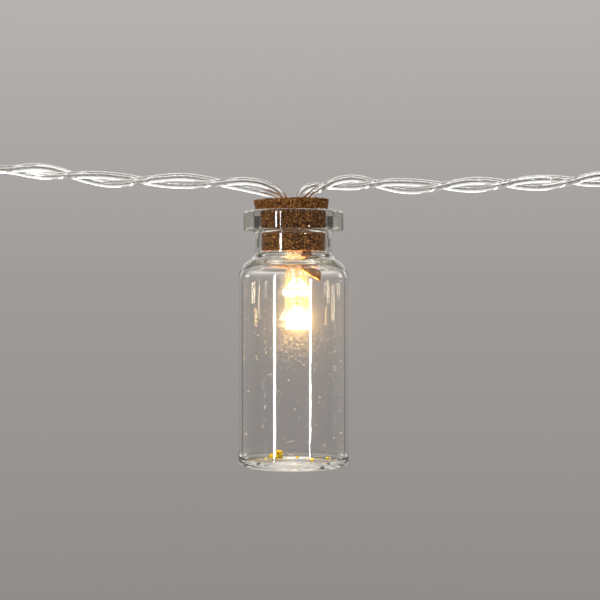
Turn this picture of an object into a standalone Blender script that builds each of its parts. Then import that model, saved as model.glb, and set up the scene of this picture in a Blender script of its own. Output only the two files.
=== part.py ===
"""Fairy light jar: a small corked glass vial with one lamp inside, hung on a clear twisted cord.

The origin is where the line of the cord crosses the axis of the jar, just above the cork. +Z is up, the
cord runs along X, and the jar hangs down towards -Z. Lengths are in metres.
"""

import math

import bmesh
import bpy
import numpy as np
from mathutils import Matrix, Vector

MM = 0.001

# Clearances
SEAT_GAP = 0.3 * MM  # between pieces that touch on the real object
SNUG_GAP = 0.08 * MM  # between small pieces that are bonded, soldered or drawn together

# Glass jar
JAR_HEIGHT = 50.9 * MM
BODY_RADIUS = 11.0 * MM
BODY_WALL = 0.9 * MM
BASE_THICKNESS = 0.55 * MM
BASE_CORNER = 1.0 * MM
FLOOR_CORNER = 1.6 * MM
PUSH_UP_HEIGHT = 0.4 * MM
PUSH_UP_RADIUS = 6.4 * MM
NECK_RADIUS = 7.7 * MM
NECK_BORE = 6.75 * MM
SHOULDER_DEPTH = 13.7 * MM  # from the top of the lip down to the straight wall
SHOULDER_RADIUS = 4.7 * MM
SHOULDER_SWEEP = 60.0  # degrees of the round shoulder before it turns up into the neck
INNER_SHOULDER_RADIUS = 2.9 * MM
NECK_FOOT_RADIUS = 0.8 * MM
LIP_RADIUS = 10.0 * MM
LIP_HEIGHT = 4.1 * MM
LIP_ROUNDING = 0.7 * MM
LIP_UNDERCUT = 1.2 * MM
MOUTH_ROUNDING = 0.6 * MM
JAR_SEGMENTS = 32

# Cork stopper, with the hole that the wires go down
CORK_TOP_Z = -3.2 * MM
CORK_LENGTH = 10.4 * MM
CORK_PROUD = 2.2 * MM
CORK_TOP_RADIUS = 7.65 * MM
CORK_HEAD_RADIUS = 7.2 * MM  # at the foot of the head, which spreads over the mouth of the jar
CORK_CHAMFER = 0.35 * MM
HEAD_CHAMFER = 0.2 * MM
NECK_CLEARANCE = 0.35 * MM
FUNNEL_RADIUS = 3.8 * MM
FUNNEL_DEPTH = 2.8 * MM
CORK_SEGMENTS = 28

# Sliver of cork that is torn loose below the stopper
SLIVER_WIDTH = 4.3 * MM
SLIVER_HANG = 5.9 * MM
SLIVER_THICKNESS = 0.8 * MM
SLIVER_OFFSET = 3.75 * MM
SLIVER_ANGLE = 25.0
SLIVER_OUTLINE = ((0.2, 1.0), (0.85, 1.0), (1.0, 0.45), (0.95, 0.0), (0.0, 0.48))  # shares of width and hang

# Cord: on each side of the jar two insulated wires, twisted together
WIRE_DIAMETER = 1.5 * MM
WIRE_WALL = 0.3 * MM
CORE_DIAMETER = 0.6 * MM
TWIST_GAP = 0.12 * MM
TWIST_RADIUS = (WIRE_DIAMETER + TWIST_GAP) / 2
SWING_MARGIN = 2.0 * MM  # from the lip out to the place where the cord begins to twist as the jar swings
OUTER_STEP = 2.4 * MM
DROP_STEP = 1.9 * MM
CURVE_STEP = 0.05 * MM

# Lamp
LAMP_OFFSET = 0.7 * MM  # the lamp hangs a little to the right of the axis of the cork
LAMP_HANG = 7.5 * MM  # from the bottom of the cork to the flange of the lamp
LENS_RADIUS = 2.55 * MM
LENS_LENGTH = 7.9 * MM
FLANGE_RADIUS = 2.9 * MM
FLANGE_THICKNESS = 1.1 * MM
TIP_RIM = 0.35 * MM
TIP_RECESS = 1.3 * MM
POCKET_WALL = 0.75 * MM
POCKET_DEPTH = 3.9 * MM
LENS_SEGMENTS = 24

# Clear sleeve over the joints between the wires and the lamp
SLEEVE_LENGTH = 5.0 * MM
SLEEVE_WALL = 0.25 * MM
SLEEVE_FLARE = 0.4 * MM
SLEEVE_FLARE_LENGTH = 0.9 * MM
SLEEVE_OVERLAP = 0.8 * MM  # how far the insulation reaches down into the sleeve
BARE_LENGTH = 1.0 * MM  # bare conductor between the insulation and the solder

# Solder joints and lead frame
SOLDER_HEIGHT = 1.2 * MM
SOLDER_WIDTH = 2.3 * MM
SOLDER_DEPTH = 1.05 * MM
SOLDER_ROUNDING = 0.25 * MM
LEAD_PITCH = 2.5 * MM
LEAD_THICKNESS = 0.5 * MM
ANVIL_WIDTH = 1.5 * MM
ANVIL_HEIGHT = 1.4 * MM
ANVIL_FRONT = 0.75 * MM
ANODE_HEAD_WIDTH = 1.0 * MM
ANODE_HEAD_HEIGHT = 1.0 * MM
POCKET_FLOOR_GAP = 0.5 * MM
CUP_RADIUS = 0.6 * MM
CUP_FLOOR_RADIUS = 0.42 * MM
CUP_DEPTH = 0.5 * MM
CHIP_WIDTH = 0.45 * MM
CHIP_HEIGHT = 0.25 * MM

# In-line connectors at the two ends of the cord, just outside the photograph
RELIEF_LENGTH = 4.7 * MM
RELIEF_TIP_RADIUS = 2.0 * MM
RELIEF_ROOT_RADIUS = 2.6 * MM
SHELL_LENGTH = 11.0 * MM
SHELL_RADIUS = 3.2 * MM
SHELL_ROUNDING = 0.5 * MM
GROOVE_COUNT = 3
GROOVE_PITCH = 1.8 * MM
GROOVE_DEPTH = 0.25 * MM
GROOVE_START = 2.0 * MM
PIN_PITCH = 2.6 * MM
PIN_DIAMETER = 1.0 * MM
PIN_REACH = 4.0 * MM
PIN_SEAT = 3.0 * MM
CONTACT_WALL = 0.2 * MM
CONTACT_LENGTH = 5.0 * MM
SHELL_SEGMENTS = 20
PIN_SEGMENTS = 12

# Crumbs of cork on the floor of the jar. The lumps of the clump are x, y, height and radius from its place,
# and the loose crumbs are x, y and radius.
CLUMP_PLACE = (-3.5 * MM, 5.4 * MM)
CLUMP_LUMPS = (
    (0.0 * MM, 0.0 * MM, 1.15 * MM, 0.75 * MM),
    (-1.0 * MM, 0.1 * MM, 0.95 * MM, 0.55 * MM),
    (0.55 * MM, -0.15 * MM, 1.8 * MM, 0.6 * MM),
    (0.65 * MM, 0.25 * MM, 1.0 * MM, 0.6 * MM),
)
LOOSE_CRUMBS = (
    (0.75 * MM, 7.0 * MM, 0.35 * MM),
    (3.7 * MM, -0.9 * MM, 0.45 * MM),
    (7.0 * MM, 3.6 * MM, 0.4 * MM),
)
CRUMB_RELIEF = 0.16  # how far the corners of a crumb are pushed in and out, as a share of its radius
CRUMB_WAVE = 7.3  # phase from one corner of a crumb to the next
CRUMB_SHIFT = 2.1  # phase from one crumb to the next

# Heights that follow from the sizes above
LIP_TOP_Z = CORK_TOP_Z - CORK_PROUD
BASE_Z = LIP_TOP_Z - JAR_HEIGHT
CORK_BOTTOM_Z = CORK_TOP_Z - CORK_LENGTH
BODY_BORE = BODY_RADIUS - BODY_WALL
LAMP_TOP_Z = CORK_BOTTOM_Z - LAMP_HANG
SLEEVE_BOTTOM_Z = LAMP_TOP_Z + SEAT_GAP / 2
SLEEVE_TOP_Z = SLEEVE_BOTTOM_Z + SLEEVE_LENGTH
WIRE_END_Z = SLEEVE_TOP_Z - SLEEVE_OVERLAP
CORE_END_Z = WIRE_END_Z - BARE_LENGTH
SOLDER_TOP_Z = CORE_END_Z - SNUG_GAP
SOLDER_BOTTOM_Z = SOLDER_TOP_Z - SOLDER_HEIGHT
POCKET_FLOOR_Z = LAMP_TOP_Z - POCKET_DEPTH
LEAD_BOTTOM_Z = POCKET_FLOOR_Z + POCKET_FLOOR_GAP
BUNDLE_RADIUS = math.sqrt(2) * TWIST_RADIUS + WIRE_DIAMETER / 2
HOLE_RADIUS = BUNDLE_RADIUS + SEAT_GAP
SLEEVE_BORE = BUNDLE_RADIUS + 1.5 * SNUG_GAP
SPLIT_X = LIP_RADIUS + SWING_MARGIN

# Route of each side of the cord, chosen by hand: x, z and the number of half turns of the twist. The two
# wires pass one in front of the other where that number is whole. Both sides run from left to right, so
# that the wire in front always rises to the right.
LEFT_ROUTE = (
    (-61.0 * MM, 3.00 * MM, 0.00),
    (-57.3 * MM, 2.88 * MM, 0.00),
    (-49.7 * MM, 2.48 * MM, 0.55),
    (-43.9 * MM, 1.72 * MM, 1.00),
    (-36.3 * MM, 0.86 * MM, 1.52),
    (-29.7 * MM, 0.68 * MM, 2.00),
    (-20.7 * MM, 0.60 * MM, 2.58),
    (-14.1 * MM, 0.22 * MM, 3.00),
    (-9.3 * MM, -0.10 * MM, 3.33),
    (-5.7 * MM, -0.85 * MM, 3.58),
    (-3.4 * MM, -1.90 * MM, 3.75),
    (-1.8 * MM, -3.50 * MM, 3.90),
    (-0.9 * MM, -5.60 * MM, 4.00),
    (-TWIST_RADIUS, -8.00 * MM, 4.00),
    (-TWIST_RADIUS, CORK_BOTTOM_Z, 4.00),
    (LAMP_OFFSET - TWIST_RADIUS, SLEEVE_TOP_Z, 4.00),
    (LAMP_OFFSET - TWIST_RADIUS, WIRE_END_Z, 4.00),
)
RIGHT_ROUTE = (
    (LAMP_OFFSET + TWIST_RADIUS, WIRE_END_Z, 0.00),
    (LAMP_OFFSET + TWIST_RADIUS, SLEEVE_TOP_Z, 0.00),
    (TWIST_RADIUS, CORK_BOTTOM_Z, 0.00),
    (TWIST_RADIUS, -8.00 * MM, 0.00),
    (0.9 * MM, -5.60 * MM, 0.00),
    (1.25 * MM, -3.90 * MM, 0.20),
    (1.9 * MM, -2.50 * MM, 0.38),
    (3.4 * MM, -1.25 * MM, 0.60),
    (6.7 * MM, -0.20 * MM, 1.00),
    (11.3 * MM, 0.35 * MM, 1.45),
    (16.8 * MM, 0.06 * MM, 2.00),
    (23.5 * MM, -0.44 * MM, 2.50),
    (30.3 * MM, -0.30 * MM, 3.00),
    (36.2 * MM, -0.12 * MM, 3.47),
    (42.9 * MM, 0.14 * MM, 4.00),
    (49.1 * MM, 0.24 * MM, 4.46),
    (56.3 * MM, 0.68 * MM, 5.00),
    (61.3 * MM, 1.00 * MM, 5.42),
    (62.6 * MM, 1.05 * MM, 5.50),
    (63.6 * MM, 1.07 * MM, 5.50),
)

PARTS = "fairy_light_jar"
CUTTERS = "cutters"


def clear_scene():
    """Remove every object that the file started with."""
    for obj in list(bpy.data.objects):
        bpy.data.objects.remove(obj, do_unlink=True)


def collection(name):
    """Return the collection of this name, made the first time it is asked for."""
    found = bpy.data.collections.get(name)
    if found is None:
        found = bpy.data.collections.new(name)
        bpy.context.scene.collection.children.link(found)
        found.hide_render = name == CUTTERS
    return found


def finish(name, colour, roughness, metallic=0.0, alpha=1.0, glow=0.0):
    """Return a Principled material of this name."""
    made = bpy.data.materials.new(name)
    made.use_nodes = True
    shader = made.node_tree.nodes["Principled BSDF"]
    shader.inputs["Base Color"].default_value = (*colour, 1.0)
    shader.inputs["Roughness"].default_value = roughness
    shader.inputs["Metallic"].default_value = metallic
    shader.inputs["Alpha"].default_value = alpha
    shader.inputs["Emission Color"].default_value = (*colour, 1.0)
    shader.inputs["Emission Strength"].default_value = glow
    made.diffuse_color = (*colour, alpha)
    return made


def add_object(name, data, material, group=PARTS):
    """Link mesh or curve data as an object of its own, dressed in one material."""
    obj = bpy.data.objects.new(name, data)
    collection(group).objects.link(obj)
    if group == CUTTERS:
        obj.hide_render = True
        obj.display_type = "WIRE"
    else:
        data.materials.append(material)
    return obj


def arc(centre, radius, start, end, steps):
    """Return the points of an arc in the profile plane, from start to end degrees."""
    angles = [math.radians(start + (end - start) * i / steps) for i in range(steps + 1)]
    return [(centre[0] + radius * math.cos(a), centre[1] + radius * math.sin(a)) for a in angles]


def turned(name, profile, segments, material, ring=False, group=PARTS):
    """Turn a profile of (radius, height) points about Z. Its outer side runs from top to bottom."""
    mesh = bpy.data.meshes.new(name)
    count = len(profile)
    edges = [(i, i + 1) for i in range(count - 1)]
    if ring:
        edges.append((count - 1, 0))
    mesh.from_pydata([(radius, 0.0, height) for radius, height in profile], edges, [])
    obj = add_object(name, mesh, material, group)
    screw = obj.modifiers.new("Turn", "SCREW")
    screw.axis = "Z"
    screw.steps = segments
    screw.render_steps = segments
    screw.use_merge_vertices = True
    screw.merge_threshold = 0.000001
    return obj


def block(name, low, high, material, rounding=0.0, group=PARTS):
    """Make a box between two corners, with its edges rounded if asked."""
    mesh = bpy.data.meshes.new(name)
    shape = bmesh.new()
    bmesh.ops.create_cube(shape, size=1.0)
    size = Vector(high) - Vector(low)
    middle = (Vector(high) + Vector(low)) / 2
    placed = Matrix.Translation(middle) @ Matrix.Diagonal((*size, 1.0))
    bmesh.ops.transform(shape, matrix=placed, verts=shape.verts)
    shape.to_mesh(mesh)
    shape.free()
    obj = add_object(name, mesh, material, group)
    if rounding:
        bevel = obj.modifiers.new("Rounding", "BEVEL")
        bevel.width = rounding
        bevel.segments = 2
    return obj


def combine(target, tool, operation):
    """Cut a tool from a piece, or join it on, with an exact Boolean."""
    boolean = target.modifiers.new(tool.name, "BOOLEAN")
    boolean.object = tool
    boolean.operation = operation
    boolean.solver = "EXACT"


def wire_curve(name, points, radius, resolution, material, capped=True):
    """Make a round wire through the points."""
    curve = bpy.data.curves.new(name, "CURVE")
    curve.dimensions = "3D"
    curve.bevel_depth = radius
    curve.bevel_resolution = resolution
    curve.use_fill_caps = capped
    spline = curve.splines.new("POLY")
    spline.points.add(len(points) - 1)
    for target, point in zip(spline.points, points):
        target.co = (*point, 1.0)
    return add_object(name, curve, material)


def as_mesh(source):
    """Replace a curve object by a mesh object of the same name, shape and place."""
    graph = bpy.context.evaluated_depsgraph_get()
    mesh = bpy.data.meshes.new_from_object(source.evaluated_get(graph))
    shape = bmesh.new()
    shape.from_mesh(mesh)
    bmesh.ops.remove_doubles(shape, verts=shape.verts, dist=0.000001)
    shape.to_mesh(mesh)
    shape.free()
    name, place = source.name, source.matrix_world.copy()
    bpy.data.objects.remove(source, do_unlink=True)
    made = bpy.data.objects.new(name, mesh)
    made.matrix_world = place
    collection(PARTS).objects.link(made)
    return made


def smooth_route(rows):
    """Return close samples (x, z, half turns) of one smooth curve through the rows."""
    rows = np.array(rows)
    chord = np.hypot(np.diff(rows[:, 0]), np.diff(rows[:, 1]))
    at = np.concatenate([[0.0], np.cumsum(chord)])
    slopes = np.gradient(rows, at, axis=0)
    samples = []
    for i, length in enumerate(chord):
        share = np.linspace(0.0, 1.0, max(2, int(length / CURVE_STEP)), endpoint=False)[:, None]
        square, cube = share**2, share**3
        samples.append(
            (2 * cube - 3 * square + 1) * rows[i]
            + (cube - 2 * square + share) * length * slopes[i]
            + (3 * square - 2 * cube) * rows[i + 1]
            + (cube - square) * length * slopes[i + 1]
        )
    samples.append(rows[-1:])
    return np.concatenate(samples)


def stretch_of(samples, keep, step):
    """Return the kept samples of a route, thinned to about one for each step of its length."""
    kept = samples[keep]
    length = np.concatenate([[0.0], np.cumsum(np.hypot(np.diff(kept[:, 0]), np.diff(kept[:, 1])))])
    count = max(2, round(length[-1] / step) + 1)
    wanted = np.linspace(0.0, length[-1], count)
    return np.stack([np.interp(wanted, length, kept[:, i]) for i in range(3)], axis=1)


def wire_points(stretch, half_turn):
    """Return the points of one wire of a twisted pair. A half turn of 1 gives the other wire."""
    along = np.gradient(stretch[:, :2], axis=0)
    along /= np.linalg.norm(along, axis=1)[:, None]
    phase = math.pi * (stretch[:, 2] + half_turn)
    rise = TWIST_RADIUS * np.sin(phase)
    return [
        Vector((x - direction[1] * up, -depth, z + direction[0] * up))
        for (x, z, _), direction, up, depth in zip(stretch, along, rise, TWIST_RADIUS * np.cos(phase))
    ]


def add_wire(name, core_name, points, insulation, copper, bare_end=None):
    """Add one insulated wire: a hollow tube of insulation and the conductor in it."""
    tube = as_mesh(wire_curve(name, points, WIRE_DIAMETER / 2, 2, insulation, capped=False))
    shell = tube.modifiers.new("Insulation wall", "SOLIDIFY")
    shell.thickness = WIRE_WALL
    shell.offset = -1.0
    shell.use_even_offset = True
    core_points = list(points)
    if bare_end == "first":
        core_points.insert(0, points[0] - Vector((0.0, 0.0, BARE_LENGTH)))
    elif bare_end == "last":
        core_points.append(points[-1] - Vector((0.0, 0.0, BARE_LENGTH)))
    wire_curve(core_name, core_points, CORE_DIAMETER / 2, 1, copper)


def add_cord(insulation, copper):
    """Add the four wires, each as an outer stretch and the stretch that drops to the lamp."""
    for side, route in (("left", LEFT_ROUTE), ("right", RIGHT_ROUTE)):
        samples = smooth_route(route)
        reach = np.abs(samples[:, 0])
        outer = stretch_of(samples, reach >= SPLIT_X + SEAT_GAP, OUTER_STEP)
        drop = stretch_of(samples, reach <= SPLIT_X, DROP_STEP)
        bare_end = "last" if side == "left" else "first"
        for half_turn, letter in enumerate("ab"):
            add_wire(
                f"{side}_cord_{letter}",
                f"{side}_core_{letter}",
                wire_points(outer, half_turn),
                insulation,
                copper,
            )
            add_wire(
                f"{side}_drop_wire_{letter}",
                f"{side}_drop_core_{letter}",
                wire_points(drop, half_turn),
                insulation,
                copper,
                bare_end,
            )


def floor_rise(radius):
    """Return how far the base is pushed up at this radius."""
    return PUSH_UP_HEIGHT * math.cos(math.pi / 2 * min(radius / PUSH_UP_RADIUS, 1.0)) ** 2


def add_glass_jar(glass):
    """Add the vial: one open-mouthed shell of glass."""
    floor_z = BASE_Z + BASE_THICKNESS
    base_radii = [PUSH_UP_RADIUS * i / 4 for i in range(5)]
    straight_top_z = LIP_TOP_Z - SHOULDER_DEPTH
    inner_top_z = straight_top_z + INNER_SHOULDER_RADIUS
    lip_bottom_z = LIP_TOP_Z - LIP_HEIGHT
    shoulder = (BODY_RADIUS - SHOULDER_RADIUS, straight_top_z)
    sweep = math.radians(SHOULDER_SWEEP)
    meet_radius = shoulder[0] + SHOULDER_RADIUS * math.cos(sweep)
    meet_z = shoulder[1] + SHOULDER_RADIUS * math.sin(sweep)
    fillet = (meet_radius - NECK_RADIUS) / (1 - math.cos(sweep))

    inside = [(radius, floor_z + floor_rise(radius)) for radius in base_radii]
    inside += arc((BODY_BORE - FLOOR_CORNER, floor_z + FLOOR_CORNER), FLOOR_CORNER, -90, 0, 4)
    inside += arc((BODY_BORE - INNER_SHOULDER_RADIUS, straight_top_z), INNER_SHOULDER_RADIUS, 0, 80, 5)
    foot = (NECK_BORE + NECK_FOOT_RADIUS, inner_top_z + NECK_FOOT_RADIUS)
    inside += arc(foot, NECK_FOOT_RADIUS, -90, -180, 3)
    inside += arc((NECK_BORE + MOUTH_ROUNDING, LIP_TOP_Z - MOUTH_ROUNDING), MOUTH_ROUNDING, 180, 90, 3)

    outside = arc((LIP_RADIUS - LIP_ROUNDING, LIP_TOP_Z - LIP_ROUNDING), LIP_ROUNDING, 90, 0, 3)
    outside += [(LIP_RADIUS, lip_bottom_z + LIP_UNDERCUT / 2), (LIP_RADIUS - LIP_UNDERCUT, lip_bottom_z)]
    outside += [(NECK_RADIUS, lip_bottom_z - LIP_UNDERCUT / 2)]
    hollow = (NECK_RADIUS + fillet, meet_z + fillet * math.sin(sweep))
    outside += arc(hollow, fillet, 180, 180 + SHOULDER_SWEEP, 4)
    outside += arc(shoulder, SHOULDER_RADIUS, SHOULDER_SWEEP, 0, 5)[1:]
    outside += arc((BODY_RADIUS - BASE_CORNER, BASE_Z + BASE_CORNER), BASE_CORNER, 0, -90, 3)
    outside += [(radius, BASE_Z + floor_rise(radius)) for radius in reversed(base_radii)]
    turned("glass_jar", inside + outside, JAR_SEGMENTS, glass)


def add_cork(cork):
    """Add the stopper, with its hole, funnel and the sliver torn loose below it."""
    neck_radius = NECK_BORE - NECK_CLEARANCE
    head_z = LIP_TOP_Z + SEAT_GAP
    head_rim = CORK_HEAD_RADIUS - HEAD_CHAMFER
    stopper = turned(
        "cork_stopper",
        [
            (CORK_TOP_RADIUS - CORK_CHAMFER, CORK_TOP_Z),
            (CORK_TOP_RADIUS, CORK_TOP_Z - CORK_CHAMFER),
            (CORK_HEAD_RADIUS, head_z + HEAD_CHAMFER),
            (head_rim, head_z),
            (neck_radius, head_z - (head_rim - neck_radius)),
            (neck_radius - CORK_CHAMFER, CORK_BOTTOM_Z + CORK_CHAMFER),
            (neck_radius - 2 * CORK_CHAMFER, CORK_BOTTOM_Z),
            (HOLE_RADIUS, CORK_BOTTOM_Z),
            (HOLE_RADIUS, CORK_TOP_Z - FUNNEL_DEPTH),
            (FUNNEL_RADIUS, CORK_TOP_Z),
        ],
        CORK_SEGMENTS,
        cork,
        ring=True,
    )
    sliver = bpy.data.meshes.new("sliver")
    shape = bmesh.new()
    low = CORK_BOTTOM_Z - SLIVER_HANG
    reach = SLIVER_HANG + 2 * SEAT_GAP  # up into the stopper, so that the two join
    outline = [(across * SLIVER_WIDTH, low + up * reach) for across, up in SLIVER_OUTLINE]
    half = SLIVER_THICKNESS / 2
    face = shape.faces.new([shape.verts.new((x, -half, z)) for x, z in outline])
    grown = bmesh.ops.extrude_face_region(shape, geom=[face])["geom"]
    moved = [item for item in grown if isinstance(item, bmesh.types.BMVert)]
    bmesh.ops.translate(shape, vec=(0.0, SLIVER_THICKNESS, 0.0), verts=moved)
    bmesh.ops.recalc_face_normals(shape, faces=shape.faces)
    shape.to_mesh(sliver)
    shape.free()
    tool = add_object("sliver_tool", sliver, None, CUTTERS)
    turn = math.radians(SLIVER_ANGLE)
    tool.rotation_euler = (0.0, 0.0, turn)
    tool.location = (SLIVER_OFFSET * math.sin(turn), -SLIVER_OFFSET * math.cos(turn), 0.0)
    combine(stopper, tool, "UNION")


def add_sleeve(clear):
    """Add the clear sleeve that covers the soldered joints."""
    outer = SLEEVE_BORE + SLEEVE_WALL
    flare_z = SLEEVE_BOTTOM_Z + SLEEVE_FLARE_LENGTH
    profile = [
        (outer, SLEEVE_TOP_Z),
        (outer, flare_z),
        (outer + SLEEVE_FLARE, SLEEVE_BOTTOM_Z),
        (SLEEVE_BORE + SLEEVE_FLARE, SLEEVE_BOTTOM_Z),
        (SLEEVE_BORE, flare_z),
        (SLEEVE_BORE, SLEEVE_TOP_Z),
    ]
    sleeve = turned("joint_sleeve", profile, LENS_SEGMENTS, clear, ring=True)
    sleeve.location.x = LAMP_OFFSET


def add_lens(epoxy):
    """Add the lens of the lamp: a flanged barrel with a hollow tip, and a pocket for the lead frame."""
    flange_z = LAMP_TOP_Z - FLANGE_THICKNESS
    tip_z = LAMP_TOP_Z - LENS_LENGTH
    pocket = LENS_RADIUS - POCKET_WALL
    profile = [
        (0.0, POCKET_FLOOR_Z),
        (pocket, POCKET_FLOOR_Z),
        (pocket, LAMP_TOP_Z),
        (FLANGE_RADIUS, LAMP_TOP_Z),
        (FLANGE_RADIUS, flange_z),
        (LENS_RADIUS, flange_z),
        (LENS_RADIUS, tip_z + TIP_RIM),
        (LENS_RADIUS - TIP_RIM / 3, tip_z + TIP_RIM / 3),
        (LENS_RADIUS - TIP_RIM, tip_z),
        (0.0, tip_z + TIP_RECESS),
    ]
    lens = turned("lamp_lens", profile, LENS_SEGMENTS, epoxy)
    lens.location.x = LAMP_OFFSET


def add_lead_frame(tinned, solder, phosphor):
    """Add both leads of the lamp, the chip in its cup, and the solder that joins leads to wires."""
    post_top_z = SOLDER_BOTTOM_Z - SNUG_GAP
    half_lead = LEAD_THICKNESS / 2
    pitch = LEAD_PITCH / 2
    for name, side, head_width, head_height, head_reach in (
        ("anode_lead", -1, ANODE_HEAD_WIDTH, ANODE_HEAD_HEIGHT, half_lead),
        ("cathode_lead", 1, ANVIL_WIDTH, ANVIL_HEIGHT, pitch + ANVIL_FRONT),
    ):
        near, far = side * (pitch - head_reach), side * (pitch + half_lead)
        lead = block(
            name,
            (LAMP_OFFSET - head_width / 2, min(near, far), LEAD_BOTTOM_Z),
            (LAMP_OFFSET + head_width / 2, max(near, far), LEAD_BOTTOM_Z + head_height),
            tinned,
        )
        post = block(
            name + "_post_tool",
            (LAMP_OFFSET - half_lead, side * pitch - half_lead, LEAD_BOTTOM_Z + head_height / 2),
            (LAMP_OFFSET + half_lead, side * pitch + half_lead, post_top_z),
            None,
            group=CUTTERS,
        )
        combine(lead, post, "UNION")
    cup_profile = [
        (0.0, LEAD_BOTTOM_Z + CUP_DEPTH),
        (CUP_FLOOR_RADIUS, LEAD_BOTTOM_Z + CUP_DEPTH),
        (CUP_RADIUS, LEAD_BOTTOM_Z),
        (CUP_RADIUS, LEAD_BOTTOM_Z - SEAT_GAP),
        (0.0, LEAD_BOTTOM_Z - SEAT_GAP),
    ]
    cup = turned("cup_tool", cup_profile, PIN_SEGMENTS, None, group=CUTTERS)
    cup.location.x = LAMP_OFFSET
    combine(bpy.data.objects["cathode_lead"], cup, "DIFFERENCE")
    chip_top_z = LEAD_BOTTOM_Z + CUP_DEPTH - SNUG_GAP
    half_chip = CHIP_WIDTH / 2
    block(
        "light_chip",
        (LAMP_OFFSET - half_chip, -half_chip, chip_top_z - CHIP_HEIGHT),
        (LAMP_OFFSET + half_chip, half_chip, chip_top_z),
        phosphor,
    )
    outer_face = pitch + half_lead
    for name, side in (("anode_solder", -1), ("cathode_solder", 1)):
        near, far = side * (outer_face - SOLDER_DEPTH), side * outer_face
        block(
            name,
            (LAMP_OFFSET - SOLDER_WIDTH / 2, min(near, far), SOLDER_BOTTOM_Z),
            (LAMP_OFFSET + SOLDER_WIDTH / 2, max(near, far), SOLDER_TOP_Z),
            solder,
            rounding=SOLDER_ROUNDING,
        )


def shell_profile():
    """Return the profile of a connector shell, whose mating face is up and whose grip is grooved."""
    top = SHELL_LENGTH
    profile = [(0.0, top), (SHELL_RADIUS - SHELL_ROUNDING, top), (SHELL_RADIUS, top - SHELL_ROUNDING)]
    for i in reversed(range(GROOVE_COUNT)):
        middle = GROOVE_START + i * GROOVE_PITCH
        width = GROOVE_PITCH / 4
        profile += [
            (SHELL_RADIUS, middle + width),
            (SHELL_RADIUS - GROOVE_DEPTH, middle + width / 2),
            (SHELL_RADIUS - GROOVE_DEPTH, middle - width / 2),
            (SHELL_RADIUS, middle - width),
        ]
    profile += [(SHELL_RADIUS, SHELL_ROUNDING), (SHELL_RADIUS - SHELL_ROUNDING, 0.0), (0.0, 0.0)]
    return profile


def point_along(obj, at, direction):
    """Stand a turned piece at a point, with its own +Z along +X or -X."""
    obj.rotation_euler = (0.0, direction * math.pi / 2, 0.0)
    obj.location = at


def add_connector(name, end, direction, contact_name, clear, metal):
    """Add a connector beyond one end of the cord: strain relief, shell and its two contacts."""
    z = end[1]
    relief = turned(
        f"{name}_strain_relief",
        [
            (0.0, RELIEF_LENGTH),
            (RELIEF_ROOT_RADIUS, RELIEF_LENGTH),
            (RELIEF_TIP_RADIUS, SHELL_ROUNDING),
            (RELIEF_TIP_RADIUS - SHELL_ROUNDING / 2, 0.0),
            (0.0, 0.0),
        ],
        SHELL_SEGMENTS,
        clear,
    )
    relief_x = end[0] + direction * SEAT_GAP
    point_along(relief, (relief_x, 0.0, z), direction)
    shell = turned(f"{name}_shell", shell_profile(), SHELL_SEGMENTS, clear)
    shell_x = relief_x + direction * (RELIEF_LENGTH + SNUG_GAP)
    point_along(shell, (shell_x, 0.0, z), direction)
    face_x = shell_x + direction * SHELL_LENGTH
    is_pin = name == "plug"
    radius = PIN_DIAMETER / 2 if is_pin else PIN_DIAMETER / 2 + SNUG_GAP + CONTACT_WALL
    seat = PIN_SEAT if is_pin else CONTACT_LENGTH
    for letter, side in (("a", -1), ("b", 1)):
        place = (face_x, side * PIN_PITCH / 2, z)
        hole = radius + SNUG_GAP
        bottom, above = -seat - SNUG_GAP, SEAT_GAP
        bore_profile = [(0.0, above), (hole, above), (hole, bottom), (0.0, bottom)]
        bore = turned(f"{name}_bore_tool_{letter}", bore_profile, PIN_SEGMENTS, None, group=CUTTERS)
        point_along(bore, place, direction)
        combine(shell, bore, "DIFFERENCE")
        if is_pin:
            tip = PIN_REACH
            profile = [(0.0, tip), (radius / 2, tip), (radius, tip - radius / 2)]
        else:
            inner = radius - CONTACT_WALL
            floor = -seat + CONTACT_WALL
            profile = [(0.0, floor), (inner, floor), (inner, 0.0), (radius, 0.0)]
        profile += [(radius, -seat), (0.0, -seat)]
        contact = turned(f"{contact_name}_{letter}", profile, PIN_SEGMENTS, metal)
        point_along(contact, place, direction)


def lump(radius, seed):
    """Return a coarse crumb as a bmesh: a small ball, pushed in and out by a fixed pattern."""
    shape = bmesh.new()
    bmesh.ops.create_icosphere(shape, subdivisions=1, radius=radius)
    for i, vert in enumerate(shape.verts):
        vert.co *= 1.0 + CRUMB_RELIEF * math.sin(CRUMB_WAVE * i + CRUMB_SHIFT * seed)
    return shape


def add_crumbs(cork):
    """Add the clump and the loose crumbs of cork that lie on the floor of the jar."""
    floor_z = BASE_Z + BASE_THICKNESS
    clump = None
    for i, (x, y, up, radius) in enumerate(CLUMP_LUMPS):
        shape = lump(radius, i)
        place = (CLUMP_PLACE[0] + x, CLUMP_PLACE[1] + y)
        lift = floor_z + floor_rise(math.hypot(*place)) + SEAT_GAP + up
        bmesh.ops.translate(shape, vec=(*place, lift), verts=shape.verts)
        mesh = bpy.data.meshes.new(f"clump_{i}")
        shape.to_mesh(mesh)
        shape.free()
        if clump is None:
            clump = add_object("crumb_clump", mesh, cork)
        else:
            combine(clump, add_object(f"clump_tool_{i}", mesh, None, CUTTERS), "UNION")
    for i, (x, y, radius) in enumerate(LOOSE_CRUMBS):
        shape = lump(radius, i + len(CLUMP_LUMPS))
        lift = floor_z + floor_rise(math.hypot(x, y)) + SEAT_GAP + radius
        bmesh.ops.translate(shape, vec=(x, y, lift), verts=shape.verts)
        mesh = bpy.data.meshes.new(f"crumb_{i + 1}")
        shape.to_mesh(mesh)
        shape.free()
        add_object(f"loose_crumb_{i + 1}", mesh, cork)


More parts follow.
